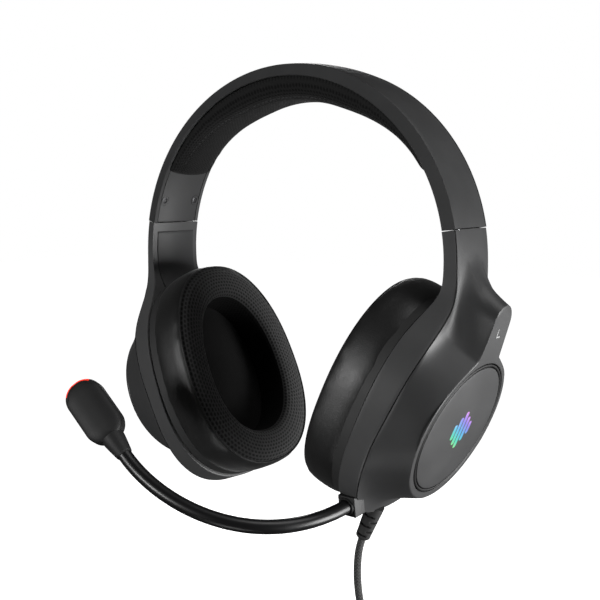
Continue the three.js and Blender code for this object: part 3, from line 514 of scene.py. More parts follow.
def board():
    m, tree, shader = blank("circuit_board", (0.01, 0.09, 0.03), 0.4)
    tracks = add_node(tree, "ShaderNodeTexVoronoi", {"Vector": object_coords(tree), "Scale": 260.0},
                      distance="MANHATTAN").outputs["Distance"]
    grade(tree, shader, "Base Color", tracks, [(0.2, (0.02, 0.16, 0.05)), (0.6, (0.006, 0.05, 0.02))])
    return m


def emblem_light():
    """Lit bars whose colour runs up the emblem, from green through blue to pink."""
    m, tree, shader = blank("emblem_light", grey(0.02), 0.4, Emission_Strength=0.85)
    grade(tree, shader, "Emission Color", uv_parts(tree)[1], [
        (0.0, (0.45, 0.95, 0.16)), (1.0, (1.0, 0.25, 0.8)), (0.22, (0.1, 0.85, 0.55)),
        (0.45, (0.1, 0.55, 0.95)), (0.68, (0.28, 0.25, 0.95)), (0.84, (0.6, 0.25, 0.95))])
    return m


# The side band's dark plastic, made lighter than the shell's as a painted highlight from the front light.
SIDE_BAND_PAINTED_HIGHLIGHT = plastic("band_plastic_painted_highlight", (0.062, 0.0622, 0.063), 0.42)
SHELL = plastic("shell_plastic", (0.036, 0.0362, 0.0368), 0.47)
TRIM = plastic("trim_plastic", (0.034, 0.0342, 0.035), 0.5)
BLOCK = plastic("socket_plastic", (0.007, 0.007, 0.0072), 0.55)
DARK = plastic("dark_plastic", (0.008, 0.008, 0.0082), 0.6)
RUBBER = plastic("soft_rubber", (0.022, 0.022, 0.022), 0.62, grain=0.2)
STRAP = plastic("soft_strap", (0.012, 0.012, 0.013), 0.85, grain=1.2, distance=0.0002)
GLOSS = plastic("glossy_jacket", (0.004, 0.004, 0.0044), 0.36, speck=0.02, distance=0)
MIC = plastic("microphone_plastic", (0.01, 0.01, 0.0103), 0.62)
MARK = plastic("side_mark", (0.3, 0.3, 0.3), 0.55)
LEATHER = leatherette()
KNIT = knit("pad_mesh", *MESH_CELL, 0.004, 0.04, sheen=0.1)
# The pad's knit made far darker for the lining deep in the hollow: painted shade.
HOLLOW_SHADE_KNIT = knit("pad_lining_painted_shade", *MESH_CELL, 0.0003, 0.0015, sheen=0.0)
BAND_KNIT = knit("band_mesh", 1.7, 1.4, 0.0025, 0.012, sheen=0.06)
# Black speaker cloth, darkened further as painted shade deep inside the cup.
SPEAKER_CLOTH_PAINTED_SHADE = knit("speaker_mesh_painted_shade", 1.0, 0.9, 0.0004, 0.002, 0.0001, 0.02)
BRAID = braid()
THREAD = plastic("stitching_thread", (0.03, 0.03, 0.031), 0.8, grain=0.3)
STEEL = metal("satin_steel", (0.55, 0.56, 0.57), 0.32)
BLACK_STEEL = metal("blackened_steel", (0.05, 0.05, 0.052), 0.38)
BOARD = board()
GLOW = emblem_light()
RED, _, _ = blank("microphone_light", (0.3, 0.02, 0.01), 0.4, Emission_Color=(1.0, 0.035, 0.012, 1),
                  Emission_Strength=1.1)


# ---------- Camera, light and floor ----------
def set_stage():
    scene = bpy.context.scene
    scene.view_settings.view_transform = "Standard"
    camera = bpy.data.objects.new("camera", bpy.data.cameras.new("camera"))
    camera.data.lens = LENS
    camera.data.sensor_width = 36
    camera.data.clip_start = 0.01
    camera.matrix_world = Matrix.Translation(CAMERA_AT) @ Matrix(CAMERA_AXES).transposed().to_4x4()
    scene.collection.objects.link(camera)
    scene.camera = camera

    world = bpy.data.worlds.new("studio")
    scene.world = world
    world.use_nodes = True
    tree = world.node_tree
    seen = add_node(tree, "ShaderNodeLightPath").outputs["Is Camera Ray"]
    strength = maths(tree, "MAXIMUM", seen, AMBIENT)
    tree.links.new(strength, tree.nodes["Background"].inputs["Strength"])
    tree.nodes["Background"].inputs["Color"].default_value = (1, 1, 1, 1)

    def light(name, place, target, size, power):
        lamp = bpy.data.lights.new(name, "AREA")
        lamp.shape = "RECTANGLE"
        lamp.size, lamp.size_y = size
        lamp.energy = power
        o = bpy.data.objects.new(name, lamp)
        aim = (Vector(target) - Vector(place)).to_track_quat("-Z", "Y")
        o.matrix_world = Matrix.Translation(place) @ aim.to_matrix().to_4x4()
        o.visible_camera = False
        scene.collection.objects.link(o)

    light("key", (0.58, 0.2, -0.29), (0.08, 0, -0.12), (0.38, 0.38), 7.7)
    light("front", (-0.45, -1.35, -0.02), (0, 0, -0.13), (0.25, 0.3), 11)
    light("below", (0.2, -0.75, -1.05), (0, 0, -0.15), (0.5, 0.4), 2)
    light("top", (0.8, 0.2, 1.3), (0, 0, -0.05), (0.9, 0.9), 9)
    light("back", (-1.3, 1.3, 0.3), (0, 0, -0.12), (0.9, 0.9), 16)

    floor, _, _ = blank("pale_floor", grey(0.9), 0.9, Emission_Color=(1, 1, 1, 1), Emission_Strength=1.0)
    plane = box("studio_floor", (0, 0, -720), (14000, 14000, 10), floor)
    plane.visible_diffuse = False
    plane.visible_glossy = False


set_stage()


# ---------- Outlines ----------
def egg_points(egg, t, grow=0.0):
    c, s = np.cos(t), np.sin(t)
    power = 2 / egg["n"]
    rise = np.sign(s) * np.abs(s) ** power
    across = np.sign(c) * np.abs(c) ** power
    return np.column_stack([egg["u"] + (egg["a"] + grow) * rise,
                            (egg["b"] + grow) * across * (1 - egg["e"] * rise)])


def egg_half(egg, u):
    t = (u - egg["u"]) / egg["a"]
    return egg["b"] * (1 - abs(t) ** egg["n"]) ** (1 / egg["n"]) * (1 - egg["e"] * t)


def resample(points, count):
    """Equal steps along a closed outline, starting at its first point."""
    closed = np.vstack([points, points[:1]])
    return point_at(closed, np.arange(count) * way_along(closed)[-1] / count)


def egg_ring(egg, count=160, grow=0.0):
    return resample(egg_points(egg, np.linspace(0, 2 * math.pi, 721)[:-1], grow), count)


def arch_in_cup(r, degrees):
    """A point of the arch as the cup's own (height, depth)."""
    x = r * math.cos(math.radians(degrees)) - CUP_X
    z = ARCH_Z + r * math.sin(math.radians(degrees)) - CUP_Z
    c, s = math.cos(TILT), math.sin(TILT)
    return x * s + z * c, x * c - z * s


def side_line(table, r):
    """A smooth depth line down the side of the arm and the cup."""
    arch = [arch_in_cup(r, a) for a in range(0, 22, 2)]
    points = [p for p in table if p[0] < arch[0][0] - 2] + arch
    u = np.arange(-110.0, 110.0, 0.25)
    us, ds = zip(*points)
    d = np.interp(u, us, ds)
    kernel = np.exp(-0.5 * (np.arange(-60, 61) * 0.25 / 3.2) ** 2)
    soft = np.convolve(np.pad(d, 60, mode="edge"), kernel / kernel.sum(), mode="valid")
    return lambda v: np.interp(v, u, soft)


seam_depth = side_line(SEAM, ARCH_R)
inner_depth = side_line(INNER, INNER_R)


def outline(egg, r, half, count=320):
    """A cup's outline that runs on up into its arm, starting at the arm's end."""
    end = arch_in_cup(r, ARM_END + 3)[0]
    first = [(end, t * half) for t in np.linspace(0, 1, 6)]
    first += [(u, half) for u in np.linspace(end, ARM_TOP, 12)[1:]]
    width = egg_half(egg, ARM_FOOT)
    slope = (egg_half(egg, ARM_FOOT + 1) - egg_half(egg, ARM_FOOT - 1)) / 2
    span = ARM_TOP - ARM_FOOT
    for k in np.linspace(1, 0, 40)[:-1]:
        near_arm = 3 * k * k - 2 * k ** 3
        flare = (k - 2 * k * k + k ** 3) * span * slope
        first.append((ARM_FOOT + k * span, (1 - near_arm) * width + flare + near_arm * half))
    start = math.asin(((ARM_FOOT - egg["u"]) / egg["a"]) ** (egg["n"] / 2))
    side = egg_points(egg, np.linspace(start, -math.pi / 2, 300))
    side[-1, 1] = 0
    right = np.vstack([first, side])
    left = right[1:-1][::-1] * (1, -1)
    return resample(np.vstack([right, left]), count)


def inset(points, amount):
    """A closed outline moved inwards by an amount."""
    area = np.sum(points[:, 0] * np.roll(points[:, 1], -1) - np.roll(points[:, 0], -1) * points[:, 1])
    before = points - np.roll(points, 1, axis=0)
    after = np.roll(points, -1, axis=0) - points
    before /= np.linalg.norm(before, axis=1)[:, None]
    after /= np.linalg.norm(after, axis=1)[:, None]
    along = before + after
    along /= np.linalg.norm(along, axis=1)[:, None]
    reach = amount * np.sign(area) / np.maximum(0.6, np.sum(along * before, axis=1))
    return points + np.column_stack([-along[:, 1] * reach, along[:, 0] * reach])


SEAM_OUTLINE = outline(BAND, ARCH_R, COVER_HALF)
RIM_OUTLINE = outline(RIM, INNER_R, BAND_HALF)
COVER_OUTLINE = inset(SEAM_OUTLINE, GAP * 0.6)


def cup(side, uy, depth):
    """World points of a cup's [u, y] points at a depth, mirrored for the right cup."""
    uy = np.asarray(uy, float)
    d = np.broadcast_to(depth, len(uy))
    c, s = math.cos(TILT), math.sin(TILT)
    x = CUP_X + d * c + uy[:, 0] * s
    z = CUP_Z - d * s + uy[:, 0] * c
    return np.column_stack([side * x, uy[:, 1], z])


def cup_matrix(side, u, y, depth):
    """A frame at a cup point whose z is outward, x is up the cup and y is across it."""
    c, s = math.cos(TILT), math.sin(TILT)
    place = cup(side, [(u, y)], depth)[0]
    out, up, across = Vector((side * c, 0, -s)), Vector((side * s, 0, c)), Vector((0, side, 0))
    m = Matrix((up, across, out)).transposed().to_4x4()
    m.translation = place
    return m


# ---------- Outer cover of a cup ----------
def keyhole_half(u):
    """Half the raised plate's width at a height: a disc with a tongue running up out of it."""
    disc_half = np.sqrt(np.maximum(0, PLATE_R ** 2 - (u - DISC_U + 0.5) ** 2))
    round_from = TONGUE_TOP - TONGUE_HALF
    side = TONGUE_HALF + 0.0045 * np.maximum(0, round_from + 4 - u) ** 2
    end = np.sqrt(np.maximum(0, 1 - (np.maximum(0, u - round_from) / TONGUE_HALF) ** 2))
    tongue = side * end
    neck = np.where(u < 45, np.maximum(0, NECK_BLEND - np.abs(disc_half - tongue)), 0)
    both = np.maximum(disc_half, tongue) + neck ** 2 / (4 * NECK_BLEND)
    return np.where(u < 20, disc_half, np.where(u > TONGUE_TOP, 0, both))


def plate_depth(u, side):
    """The raised plate's depth; the right cup's tongue leans in towards its arm."""
    return PLATE_DEPTH - 0.0021 * np.maximum(0, u - 30) ** 2 - TONGUE_SINK[side] * smooth((u - 42) / 20)


def from_disc(points):
    offset = points - (DISC_U, 0)
    far = np.linalg.norm(offset, axis=1)
    return offset / far[:, None], far


def keyhole_side():
    """One side of the raised plate's outline, from the tongue's top to the disc's foot."""
    cap = np.linspace(0, math.pi / 2, 40)
    top = TONGUE_TOP - TONGUE_HALF * (1 - np.cos(cap))
    u = np.concatenate([top, np.linspace(top[-1], DISC_U - 10, 260)[1:]])
    upper = np.column_stack([u, keyhole_half(u)])
    start = math.atan2(upper[-1, 1], upper[-1, 0] - DISC_U + 0.5)
    t = np.linspace(start, math.pi, 200)[1:]
    lower = np.column_stack([DISC_U - 0.5 + PLATE_R * np.cos(t), PLATE_R * np.sin(t)])
    line = np.vstack([upper, lower])
    line[0, 1] = line[-1, 1] = 0
    return line


# Places on the plate's outline and the places on the cover's outline that they face.
FACING = [((62.5, 0), (200, 0)), ((60.0, 5.9), (200, 15)), ((54, 8.4), (78, 14.9)), ((47.5, 8.9), (62, 15.2)),
          ((40, 12), (51, 19)), ((32, 19.5), (36, 31)), ((0.4, 36), (-2, 41)), ((-35.6, 0), (-60, 0))]


def matched_keyhole(cover_half):
    line = keyhole_side()
    s_key, s_cover = way_along(line), way_along(cover_half)

    def nearest(points, s, place):
        return s[np.argmin(np.linalg.norm(points - place, axis=1))]

    pairs = [(nearest(cover_half, s_cover, c), nearest(line, s_key, k)) for k, c in FACING]
    pairs[0], pairs[-1] = (0, 0), (s_cover[-1], s_key[-1])
    at = np.interp(s_cover, *zip(*pairs))
    kernel = np.hanning(15)
    padded = np.concatenate([2 * at[0] - at[7:0:-1], at, 2 * at[-1] - at[-2:-9:-1]])
    at = np.convolve(padded, kernel / kernel.sum(), mode="valid")
    return point_at(line, at)


def distance_to(a, points):
    """Each point's distance to the closed outline a."""
    ab = np.roll(a, -1, axis=0) - a
    length = np.maximum(1e-9, np.sum(ab * ab, axis=1))
    best = np.full(len(points), 1e9)
    for start in range(0, len(points), 2000):
        p = points[start:start + 2000, None, :]
        t = np.clip(np.sum((p - a) * ab, axis=2) / length, 0, 1)
        gap = np.linalg.norm(p - a - t[:, :, None] * ab, axis=2)
        best[start:start + 2000] = gap.min(axis=1)
    return best


COVER_FINE = inset(outline(BAND, ARCH_R, COVER_HALF, 900), GAP * 0.6)
KEYHOLE_FINE = np.vstack([keyhole_side(), keyhole_side()[1:-1][::-1] * (1, -1)])
HALF = len(COVER_OUTLINE) // 2 + 1
KEYHOLE_HALF = matched_keyhole(COVER_OUTLINE[:HALF])


def relaxed_rows(rows):
    """Evenly spread rows of points from the plate's outline to the cover's."""
    t = np.linspace(0, 1, rows)[:, None, None]
    grid = KEYHOLE_HALF[None] * (1 - t) + COVER_OUTLINE[:HALF][None] * t
    for _ in range(400):
        inner = (grid[:-2, 1:-1] + grid[2:, 1:-1] + grid[1:-1, :-2] + grid[1:-1, 2:]) / 4
        grid[1:-1, 1:-1] = inner
        for column in (0, -1):
            grid[1:-1, column, 0] = (grid[:-2, column, 0] + grid[2:, column, 0]) / 2
    return grid


def whole(half_row):
    """A row mirrored to the other side of the cup."""
    return np.vstack([half_row, half_row[1:-1][::-1] * (1, -1)])


def cover_depth(points, side):
    near = distance_to(KEYHOLE_FINE, points)
    far = distance_to(COVER_FINE, points)
    share = near / (near + far + 1e-6)
    u, y = points.T
    by_tongue = smooth((u - TONGUE_FROM) / 16)
    narrow = 1 - smooth((near + far - 6) / 12)
    power = SLOPE_POWER - 0.65 * narrow * (1 - by_tongue) + 1.8 * by_tongue
    rise = (1 - share) ** power * (1 - smooth(near / (SLOPE_REACH - 4 * by_tongue)))
    crown = 1.2 * BAND_CROWN * smooth((u - 50) / 12) * np.maximum(0, 1 - (y / COVER_HALF) ** 2)
    base = seam_depth(u) + crown
    return base + (plate_depth(u, side) - base) * rise


def slice_off(piece, side, cap):
    """Cuts away what lies past the arm's end; cap closes the cut."""
    a = math.radians(ARM_END)
    point = Vector((0, 0, ARCH_Z)) * MM
    normal = Vector((-side * math.sin(a), 0, math.cos(a)))

    def work(bm):
        geometry = bm.verts[:] + bm.edges[:] + bm.faces[:]
        found = bmesh.ops.bisect_plane(bm, geom=geometry, dist=1e-7, plane_co=point, plane_no=normal,
                                       clear_outer=True)
        if cap:
            edges = [e for e in found["geom_cut"] if isinstance(e, bmesh.types.BMEdge)]
            bmesh.ops.contextual_create(bm, geom=edges)
            face_out(bm)

    return edit_mesh(piece, work)


def eased(depths, u, steps, first, last):
    """Rounds the slope's creases off, leaving its two edges and the arm's flat face as they are."""
    field = np.vstack([first, depths, last])
    hold = (smooth((steps - 0.1) / 0.2) * smooth((1 - steps) / 0.12))[:, None] * (1 - smooth((u - 62) / 12))
    for _ in range(140):
        around = (np.roll(field, 1, axis=1) + np.roll(field, -1, axis=1))[1:-1]
        field[1:-1] += 0.5 * hold * ((around + field[:-2] + field[2:]) / 4 - field[1:-1])
    return field[1:-1]


def cover_rows(side):
    """Rows of (points, depths) from the disc's recess out to the cover's edge."""
    key = whole(KEYHOLE_HALF)
    way, far = from_disc(key)
    rows = []

    def plate(points, drop=0.0):
        rows.append((points, plate_depth(points[:, 0], side) - drop))

    lip = DISC_R + 0.3
    rows += [(way * DISC_R + (DISC_U, 0), PLATE_DEPTH - drop) for drop in (RECESS, 0.3)]
    for t in (0, 0.15, 0.3, 0.45, 0.6, 0.75, 0.9):
        plate(way * (lip + (far - 0.4 - lip) * t)[:, None] + (DISC_U, 0))
    plate(way * (far - 0.3)[:, None] + (DISC_U, 0))
    plate(key, 0.14)
    steps = np.concatenate([[0.012, 0.03, 0.055, 0.085], np.linspace(0.12, 0.97, 30), [0.99]])
    lines = [point_at(line, steps * way_along(line)[-1]) for line in relaxed_rows(40).transpose(1, 0, 2)]
    slope = [whole(half_row) for half_row in np.stack(lines, axis=1)]
    edge = seam_depth(COVER_OUTLINE[:, 0])
    depths = np.array([cover_depth(points, side) for points in slope])
    up = np.array(slope)[:, :, 0]
    rows += zip(slope, eased(depths, up, steps, plate_depth(key[:, 0], side) - 0.14, edge))
    rows.append((inset(COVER_OUTLINE, 0.04), edge + 0.02))
    rows.append((COVER_OUTLINE, edge - 0.12))
    skirt = inset(COVER_OUTLINE, 0.7)
    rows += [(skirt, seam_depth(skirt[:, 0]) - drop) for drop in (0.14, 1.6)]
    return rows


def outer_cover(side, word):
    """The cup's outer shell, from the disc's recess to its edge; its turned-in skirt is dark, a painted
    shadow line along the seam with the side band.
    """
    rows = cover_rows(side)
    verts = np.vstack([cup(side, p, d) for p, d in rows])
    size = len(COVER_OUTLINE)
    faces = ring_faces(len(rows), size, False)
    if side < 0:
        faces = [f[::-1] for f in faces]
    piece = mesh_piece(f"cup_cover_{word}", verts, faces, SHELL, angle=32)
    # The skirt rows get near-black plastic: a painted shadow line in the gap along the seam.
    piece.data.materials.append(DARK)
    painted_shadow_skirt = np.arange(len(faces)) >= (len(rows) - 2) * size
    piece.data.polygons.foreach_set("material_index", painted_shadow_skirt.astype(int))
    slice_off(piece, side, cap=False)
    soften(piece, 32)
    return piece


def side_band(side, word):
    """The cup's side band with the arm's walls: one body, cut square to the arch at the split."""
    low, high = inner_depth(RIM_OUTLINE[:, 0]), seam_depth(SEAM_OUTLINE[:, 0]) - 0.5
    rings = [cup(side, inset(RIM_OUTLINE, 0.7), low)]
    levels = [(0.0, 0.25, 0.15), (0.03, 0.05, 0)] + [(t, 0, 0) for t in np.linspace(0.08, 0.97, 10)]
    for t, amount, lift in levels:
        points = RIM_OUTLINE * (1 - t) + SEAM_OUTLINE * t
        rings.append(cup(side, inset(points, amount), low + (high - low) * t + lift))
    rings.append(cup(side, inset(SEAM_OUTLINE, 0.15), high))
    inner = inset(SEAM_OUTLINE, 1.3)
    rings += [cup(side, inner, seam_depth(inner[:, 0]) - drop) for drop in (0.5, 1.8)]
    # The band's lighter plastic paints in its highlight.
    return slice_off(loft(f"cup_band_{word}", rings, SIDE_BAND_PAINTED_HIGHLIGHT, cap="strips", angle=30), side, cap=True)


# ---------- Headband ----------
def arch(r, degrees, y):
    a = np.radians(degrees)
    return np.column_stack([r * np.cos(a), np.broadcast_to(y, np.shape(r)), ARCH_Z + r * np.sin(a)])


def arch_sweep(name, section, start, end, steps, material, angle=35):
    """A bar along the arch between two angles; its section is (radius, y)."""
    section = np.asarray(section, float)
    rings = [arch(section[:, 0], a, section[:, 1]) for a in np.linspace(start, end, steps + 1)]
    return loft(name, rings, material, angle=angle)


def rectangle(r0, r1, half):
    return [(r0, -half), (r1, -half), (r1, half), (r0, half)]


def headband():
    """The band's cover and rails, with the two end plates and their screws."""
    half = COVER_HALF - GAP / 2
    t = np.linspace(-1, 1, 25)
    crown = [(ARCH_R + BAND_CROWN * (1 - s * s), s * half) for s in t]
    crown[0], crown[-1] = (ARCH_R - 0.25, -half), (ARCH_R - 0.25, half)
    base = ARCH_R - 1.7 + GAP
    section = [(base, -half)] + crown + [(base, half)]
    cover = arch_sweep("band_cover", section, SPLIT_A, 180 - SPLIT_A, BAND_STEPS, SHELL, 32)
    attach(cover, "headband", "shell", "headband_cover")

    side = [(INNER_R + 0.35, BAND_HALF - 0.02), (INNER_R, BAND_HALF - 0.4)]
    edge = COVER_HALF + GAP / 2
    wall = side[:1] + [(ARCH_R - 0.2, edge + 0.08), (ARCH_R - 0.02, edge + 0.02), (ARCH_R - 1.7, edge)]
    channel = side[1:] + wall + [(ARCH_R - 1.7, 13.3), (INNER_R + 1.3, 13.3)]
    section = channel + [(r, -y) for r, y in channel[::-1]]
    rail = arch_sweep("band_rails", section, SPLIT_A, 180 - SPLIT_A, BAND_STEPS, SHELL, 32)
    pocket = rectangle(INNER_R - 2, INNER_R + 2.3, PLATE_HALF + GAP)
    ends = ((SPLIT_A - 3, 31), (149, 183 - SPLIT_A))
    cut(rail, *(arch_sweep("pocket", pocket, a, b, 30, SHELL) for a, b in ends), angle=32)
    attach(rail, "headband", "shell", "headband_frame")

    for side_sign, word in ((1, "left"), (-1, "right")):
        start, end = (SPLIT_A, 30.7) if side_sign > 0 else (149.3, 180 - SPLIT_A)
        section = rectangle(INNER_R, INNER_R + 1.1, PLATE_HALF)
        plate = arch_sweep(f"end_cover_{word}", section, start, end, 30, TRIM)
        bevel(plate, 0.3)
        attach(plate, "headband", "trim", f"end_plate_{word}")
        for y, place in ((-SCREW_Y, "front"), (SCREW_Y, "rear")):
            screw_head(side_sign, word, y, place)


def screw_head(side, word, y, place):
    """A hexagon-socket screw in its seat, on an end plate."""
    a = math.radians(SCREW_A)
    out = Vector((side * math.cos(a), 0, math.sin(a)))
    across = Vector((0, 1, 0))
    m = Matrix((across, out.cross(across), out)).transposed().to_4x4()
    m.translation = out * (INNER_R - 0.2) + Vector((0, y, ARCH_Z))
    seat = [(0, 0.35), (2.3, 0.3), (2.75, 0.1), (2.75, 0.6), (0, 0.6)]
    dish = turned(f"screw_seat_{word}_{place}", seat, m, DARK, 32)
    attach(dish, "headband", "dark")
    crown = [(0, 0.12), (0.95, 0.12), (1.7, 0.2), (2.0, 0.4), (2.0, 0.9), (0, 0.9)]
    head = turned(f"screw_head_{word}_{place}", crown, m, BLACK_STEEL, 32)
    cut(head, turned("hex", [(0, -1), (0.85, -1), (0.85, 0.7), (0, 0.7)], m, BLACK_STEEL, 6))
    attach(head, "headband", "steel", f"end_screw_{word}_{place}")


# The cushion's side folds: each wave's turn a millimetre, start and height.
BAND_WAVES = list(zip(*(np.random.default_rng(7).uniform(low, high, 10)
                        for low, high in ((0.35, 1.2), (0, 6.28), (0.04, 0.1)))))


def cushion_points(t, s, lift=0.0):
    """Points across the pad at a share of its length: full in the middle, with rounded, thinner ends."""
    span = 180 - 2 * CUSHION_A
    end = 2.3 * (1 - np.sqrt(1 - (0.98 * s) ** 2)) - 0.9
    angle = CUSHION_A + 0.6 + end + (span - 1.2 - 2 * end) * t
    from_end = min(t, 1 - t) * span
    rise = math.sqrt(max(0.004, 1 - (1 - min(1.0, from_end / 3.2)) ** 2))
    swell = 0.36 + 0.64 * float(smooth(min(t, 1 - t) / 0.36))
    depth = (INNER_R - CUSHION_R - GAP) * rise * swell
    mm = np.radians(angle) * 80
    pucker = sum(c * np.sin(a * mm + b) for a, b, c in BAND_WAVES)
    side_fold = np.exp(-((np.abs(s) - 0.93) / 0.06) ** 2) * pucker
    channel = 0.35 * np.exp(-((np.abs(s) - STITCH_AT) / 0.035) ** 2) * rise
    profile = (1 - np.abs(s) ** 3.4) ** 0.55
    r = INNER_R - GAP - 0.05 - np.maximum(0.0, (depth - 0.05) * profile + side_fold * rise - channel + lift)
    return arch(r, angle, s * (BAND_HALF - 1.9))


def cushion():
    """The band's padded underside, with a stitched channel down each side."""
    steps, columns = 220, 64
    s = np.sin(np.linspace(-math.pi / 2, math.pi / 2, columns))
    rings, uvs = [], []
    for t in np.linspace(0, 1, steps + 1):
        ring = cushion_points(t, s)
        back = cushion_points(t, s[[-1, 0]])
        offset = back - (0, 0, ARCH_Z)
        back = back + offset * (0.6 / np.linalg.norm(offset, axis=1))[:, None] * (1, 0, 1)
        rings.append(np.vstack([ring, back]))
        along = np.concatenate([s * BAND_HALF * 1.15, [BAND_HALF * 1.2, -BAND_HALF * 1.2]])
        uvs.append(np.column_stack([np.full(len(along), t * 165), along]))
    pad = loft("band_cushion", rings, BAND_KNIT, uvs=np.vstack(uvs), angle=60)
    attach(pad, "headband", "fabric", "headband_cushion")

    verts, faces = [], []
    for sign in (-1, 1):
        for t in 0.045 + 0.91 * np.arange(62) / 61:
            start = len(verts)
            for dt, half in ((-0.0052, 0.1), (-0.002, 0.22), (0.002, 0.22), (0.0052, 0.1)):
                p = cushion_points(t + dt, np.array([sign * STITCH_AT]), 0.1)[0]
                inward = np.array([p[0], 0, p[2] - ARCH_Z])
                inward /= -np.linalg.norm(inward)
                verts += [p + (0, y, 0) + inward * rise for y, rise in (
                    (half, -0.3), (half, half * 0.5), (0, half), (-half, half * 0.5), (-half, -0.3))]
            faces += [tuple(start + i for i in f) for f in ring_faces(4, 5, False)]
            faces += [tuple(range(start, start + 5))[::-1], tuple(range(start + 15, start + 20))]
    stitches = outward(mesh_piece("band_stitches", verts, faces, THREAD, angle=60))
    attach(stitches, "headband", "fabric")


# ---------- Ear cups ----------
# The pad's section as (share of the way from its hole to its edge, depth): face first, then side.
PAD_SECTION = [(0.0, PAD_BACK), (-0.015, 12.0), (-0.02, 8.0), (-0.012, 4.5), (0.01, 2.1), (0.055, 0.2),
               (0.13, -1.1), (0.24, -1.8), (0.38, -2.05), (0.54, -2.0), (0.68, -1.6), (0.79, -0.85),
               (0.865, 0.05), (0.905, 0.62)]
PAD_SIDE = [(0.925, 0.6), (0.955, 1.5), (0.983, 3.4), (0.998, 5.8), (1.0, 8.5), (0.998, 11.2), (0.988, 13.6),
            (0.968, 15.7), (0.94, 17.4), (0.905, 18.6), (0.86, 19.3)]


def pad_line(points, count):
    """A smooth line through (share of the pad's width, depth) points, in about equal steps."""
    p = np.array(points)
    s = way_along(p * (PAD["a"] - PAD_HOLE["a"], 1))
    return curve(p, s, np.linspace(0, s[-1], count))


def pad_ring_at(t):
    """The pad's outline at a share of the way from its hole to its edge."""
    return egg_ring({key: PAD_HOLE[key] + (PAD[key] - PAD_HOLE[key]) * t for key in PAD}, PAD_SIDES)


def ear_pad(side, word):
    """Foam ring: knitted mesh over its face and hollow, leatherette round its side, a sewn seam between."""
    rng = np.random.default_rng(11 if side > 0 else 23)
    turn = np.arange(PAD_SIDES) * 2 * math.pi / PAD_SIDES
    ripple = sum(rng.uniform(0.02, 0.07) * np.sin(rng.integers(14, 46) * turn + rng.uniform(0, 6.28))
                 for _ in range(9))
    wander = sum(rng.uniform(0.08, 0.22) * np.sin(k * turn + rng.uniform(0, 6.28))
                 for k in (2, 3, 5, 7, 9, 11))
    face = pad_line(PAD_SECTION, 40)
    outside = pad_line(PAD_SIDE, 34)
    length = MESH_CELLS * MESH_CELL[0]
    rings, uvs = [], []
    along = 0.0
    for k, (t, depth) in enumerate(np.vstack([face, outside])):
        ring = pad_ring_at(t)
        if k >= len(face):
            way = (k - len(face)) / (len(outside) - 1)
            near_seam = math.exp(-(way / 0.16) ** 2)
            near_back = math.exp(-((1 - way) / 0.22) ** 2)
            ring = ring + from_disc(ring)[0] * (ripple * near_seam + 0.6 * ripple * near_back)[:, None]
            top = 1.3 * smooth((ring[:, 0] + 25) / 60) * smooth((way - 0.2) / 0.8)
            depths = depth + wander * smooth((way - 0.4) / 0.6) * 1.2 + top - 0.7 * smooth(way)
        else:
            seam = math.exp(-((len(face) - 1 - k) / 2.2) ** 2)
            depths = depth + 0.5 * seam + 0.35 * ripple * seam
        rings.append(cup(side, ring, depths))
        along += float(np.linalg.norm(rings[-1] - rings[max(0, k - 1)], axis=1).mean())
        uvs.append(np.column_stack([turn * length / (2 * math.pi), np.full(PAD_SIDES, along)]))
    pad = torus(f"ear_cushion_{word}", rings, KNIT, uvs=np.vstack(uvs), angle=70)
    pad.data.materials.append(LEATHER)
    pad.data.materials.append(HOLLOW_SHADE_KNIT)
    # 0 is the mesh of the face, 1 the leatherette, 2 the lining deep in the hollow, whose knit is darkened as
    # painted shade.
    slots = [2 if depth > 1.2 else 0 for _, depth in face[:-1]] + [1] * (len(outside) + 1)
    pad.data.polygons.foreach_set("material_index", np.repeat(slots, PAD_SIDES))
    close_wrap(pad, length)
    attach(pad, f"cup_{word}", "leatherette", f"ear_pad_{word}")
    attach(seam_cord(side, word), f"cup_{word}", "leatherette")


def close_wrap(piece, length):
    """Lets the faces that close a ring run on to its full length, not back to the start of its UVs."""
    layer = piece.data.uv_layers["UVMap"].data
    uv = np.empty(len(layer) * 2)
    layer.foreach_get("uv", uv)
    uv = uv.reshape(-1, 4, 2)
    wide = uv[:, :, 0].max(axis=1) - uv[:, :, 0].min(axis=1) > length / 2
    late = wide[:, None] & (uv[:, :, 0] < length / 2)
    uv[:, :, 0] += late * length
    layer.foreach_set("uv", uv.ravel())


def seam_cord(side, word):
    """The thin piping where the pad's face meets its side."""
    points = cup(side, pad_ring_at(0.917), 0.42)
    normal = np.array([side * math.cos(TILT), 0, -math.sin(TILT)])
    out = points - points.mean(axis=0)
    out /= np.linalg.norm(out, axis=1)[:, None]
    rings = [points + 0.3 * (math.cos(a) * out + math.sin(a) * normal) for a in np.arange(8) * math.pi / 4]
    return torus(f"pad_seam_{word}", rings, LEATHER, angle=80)


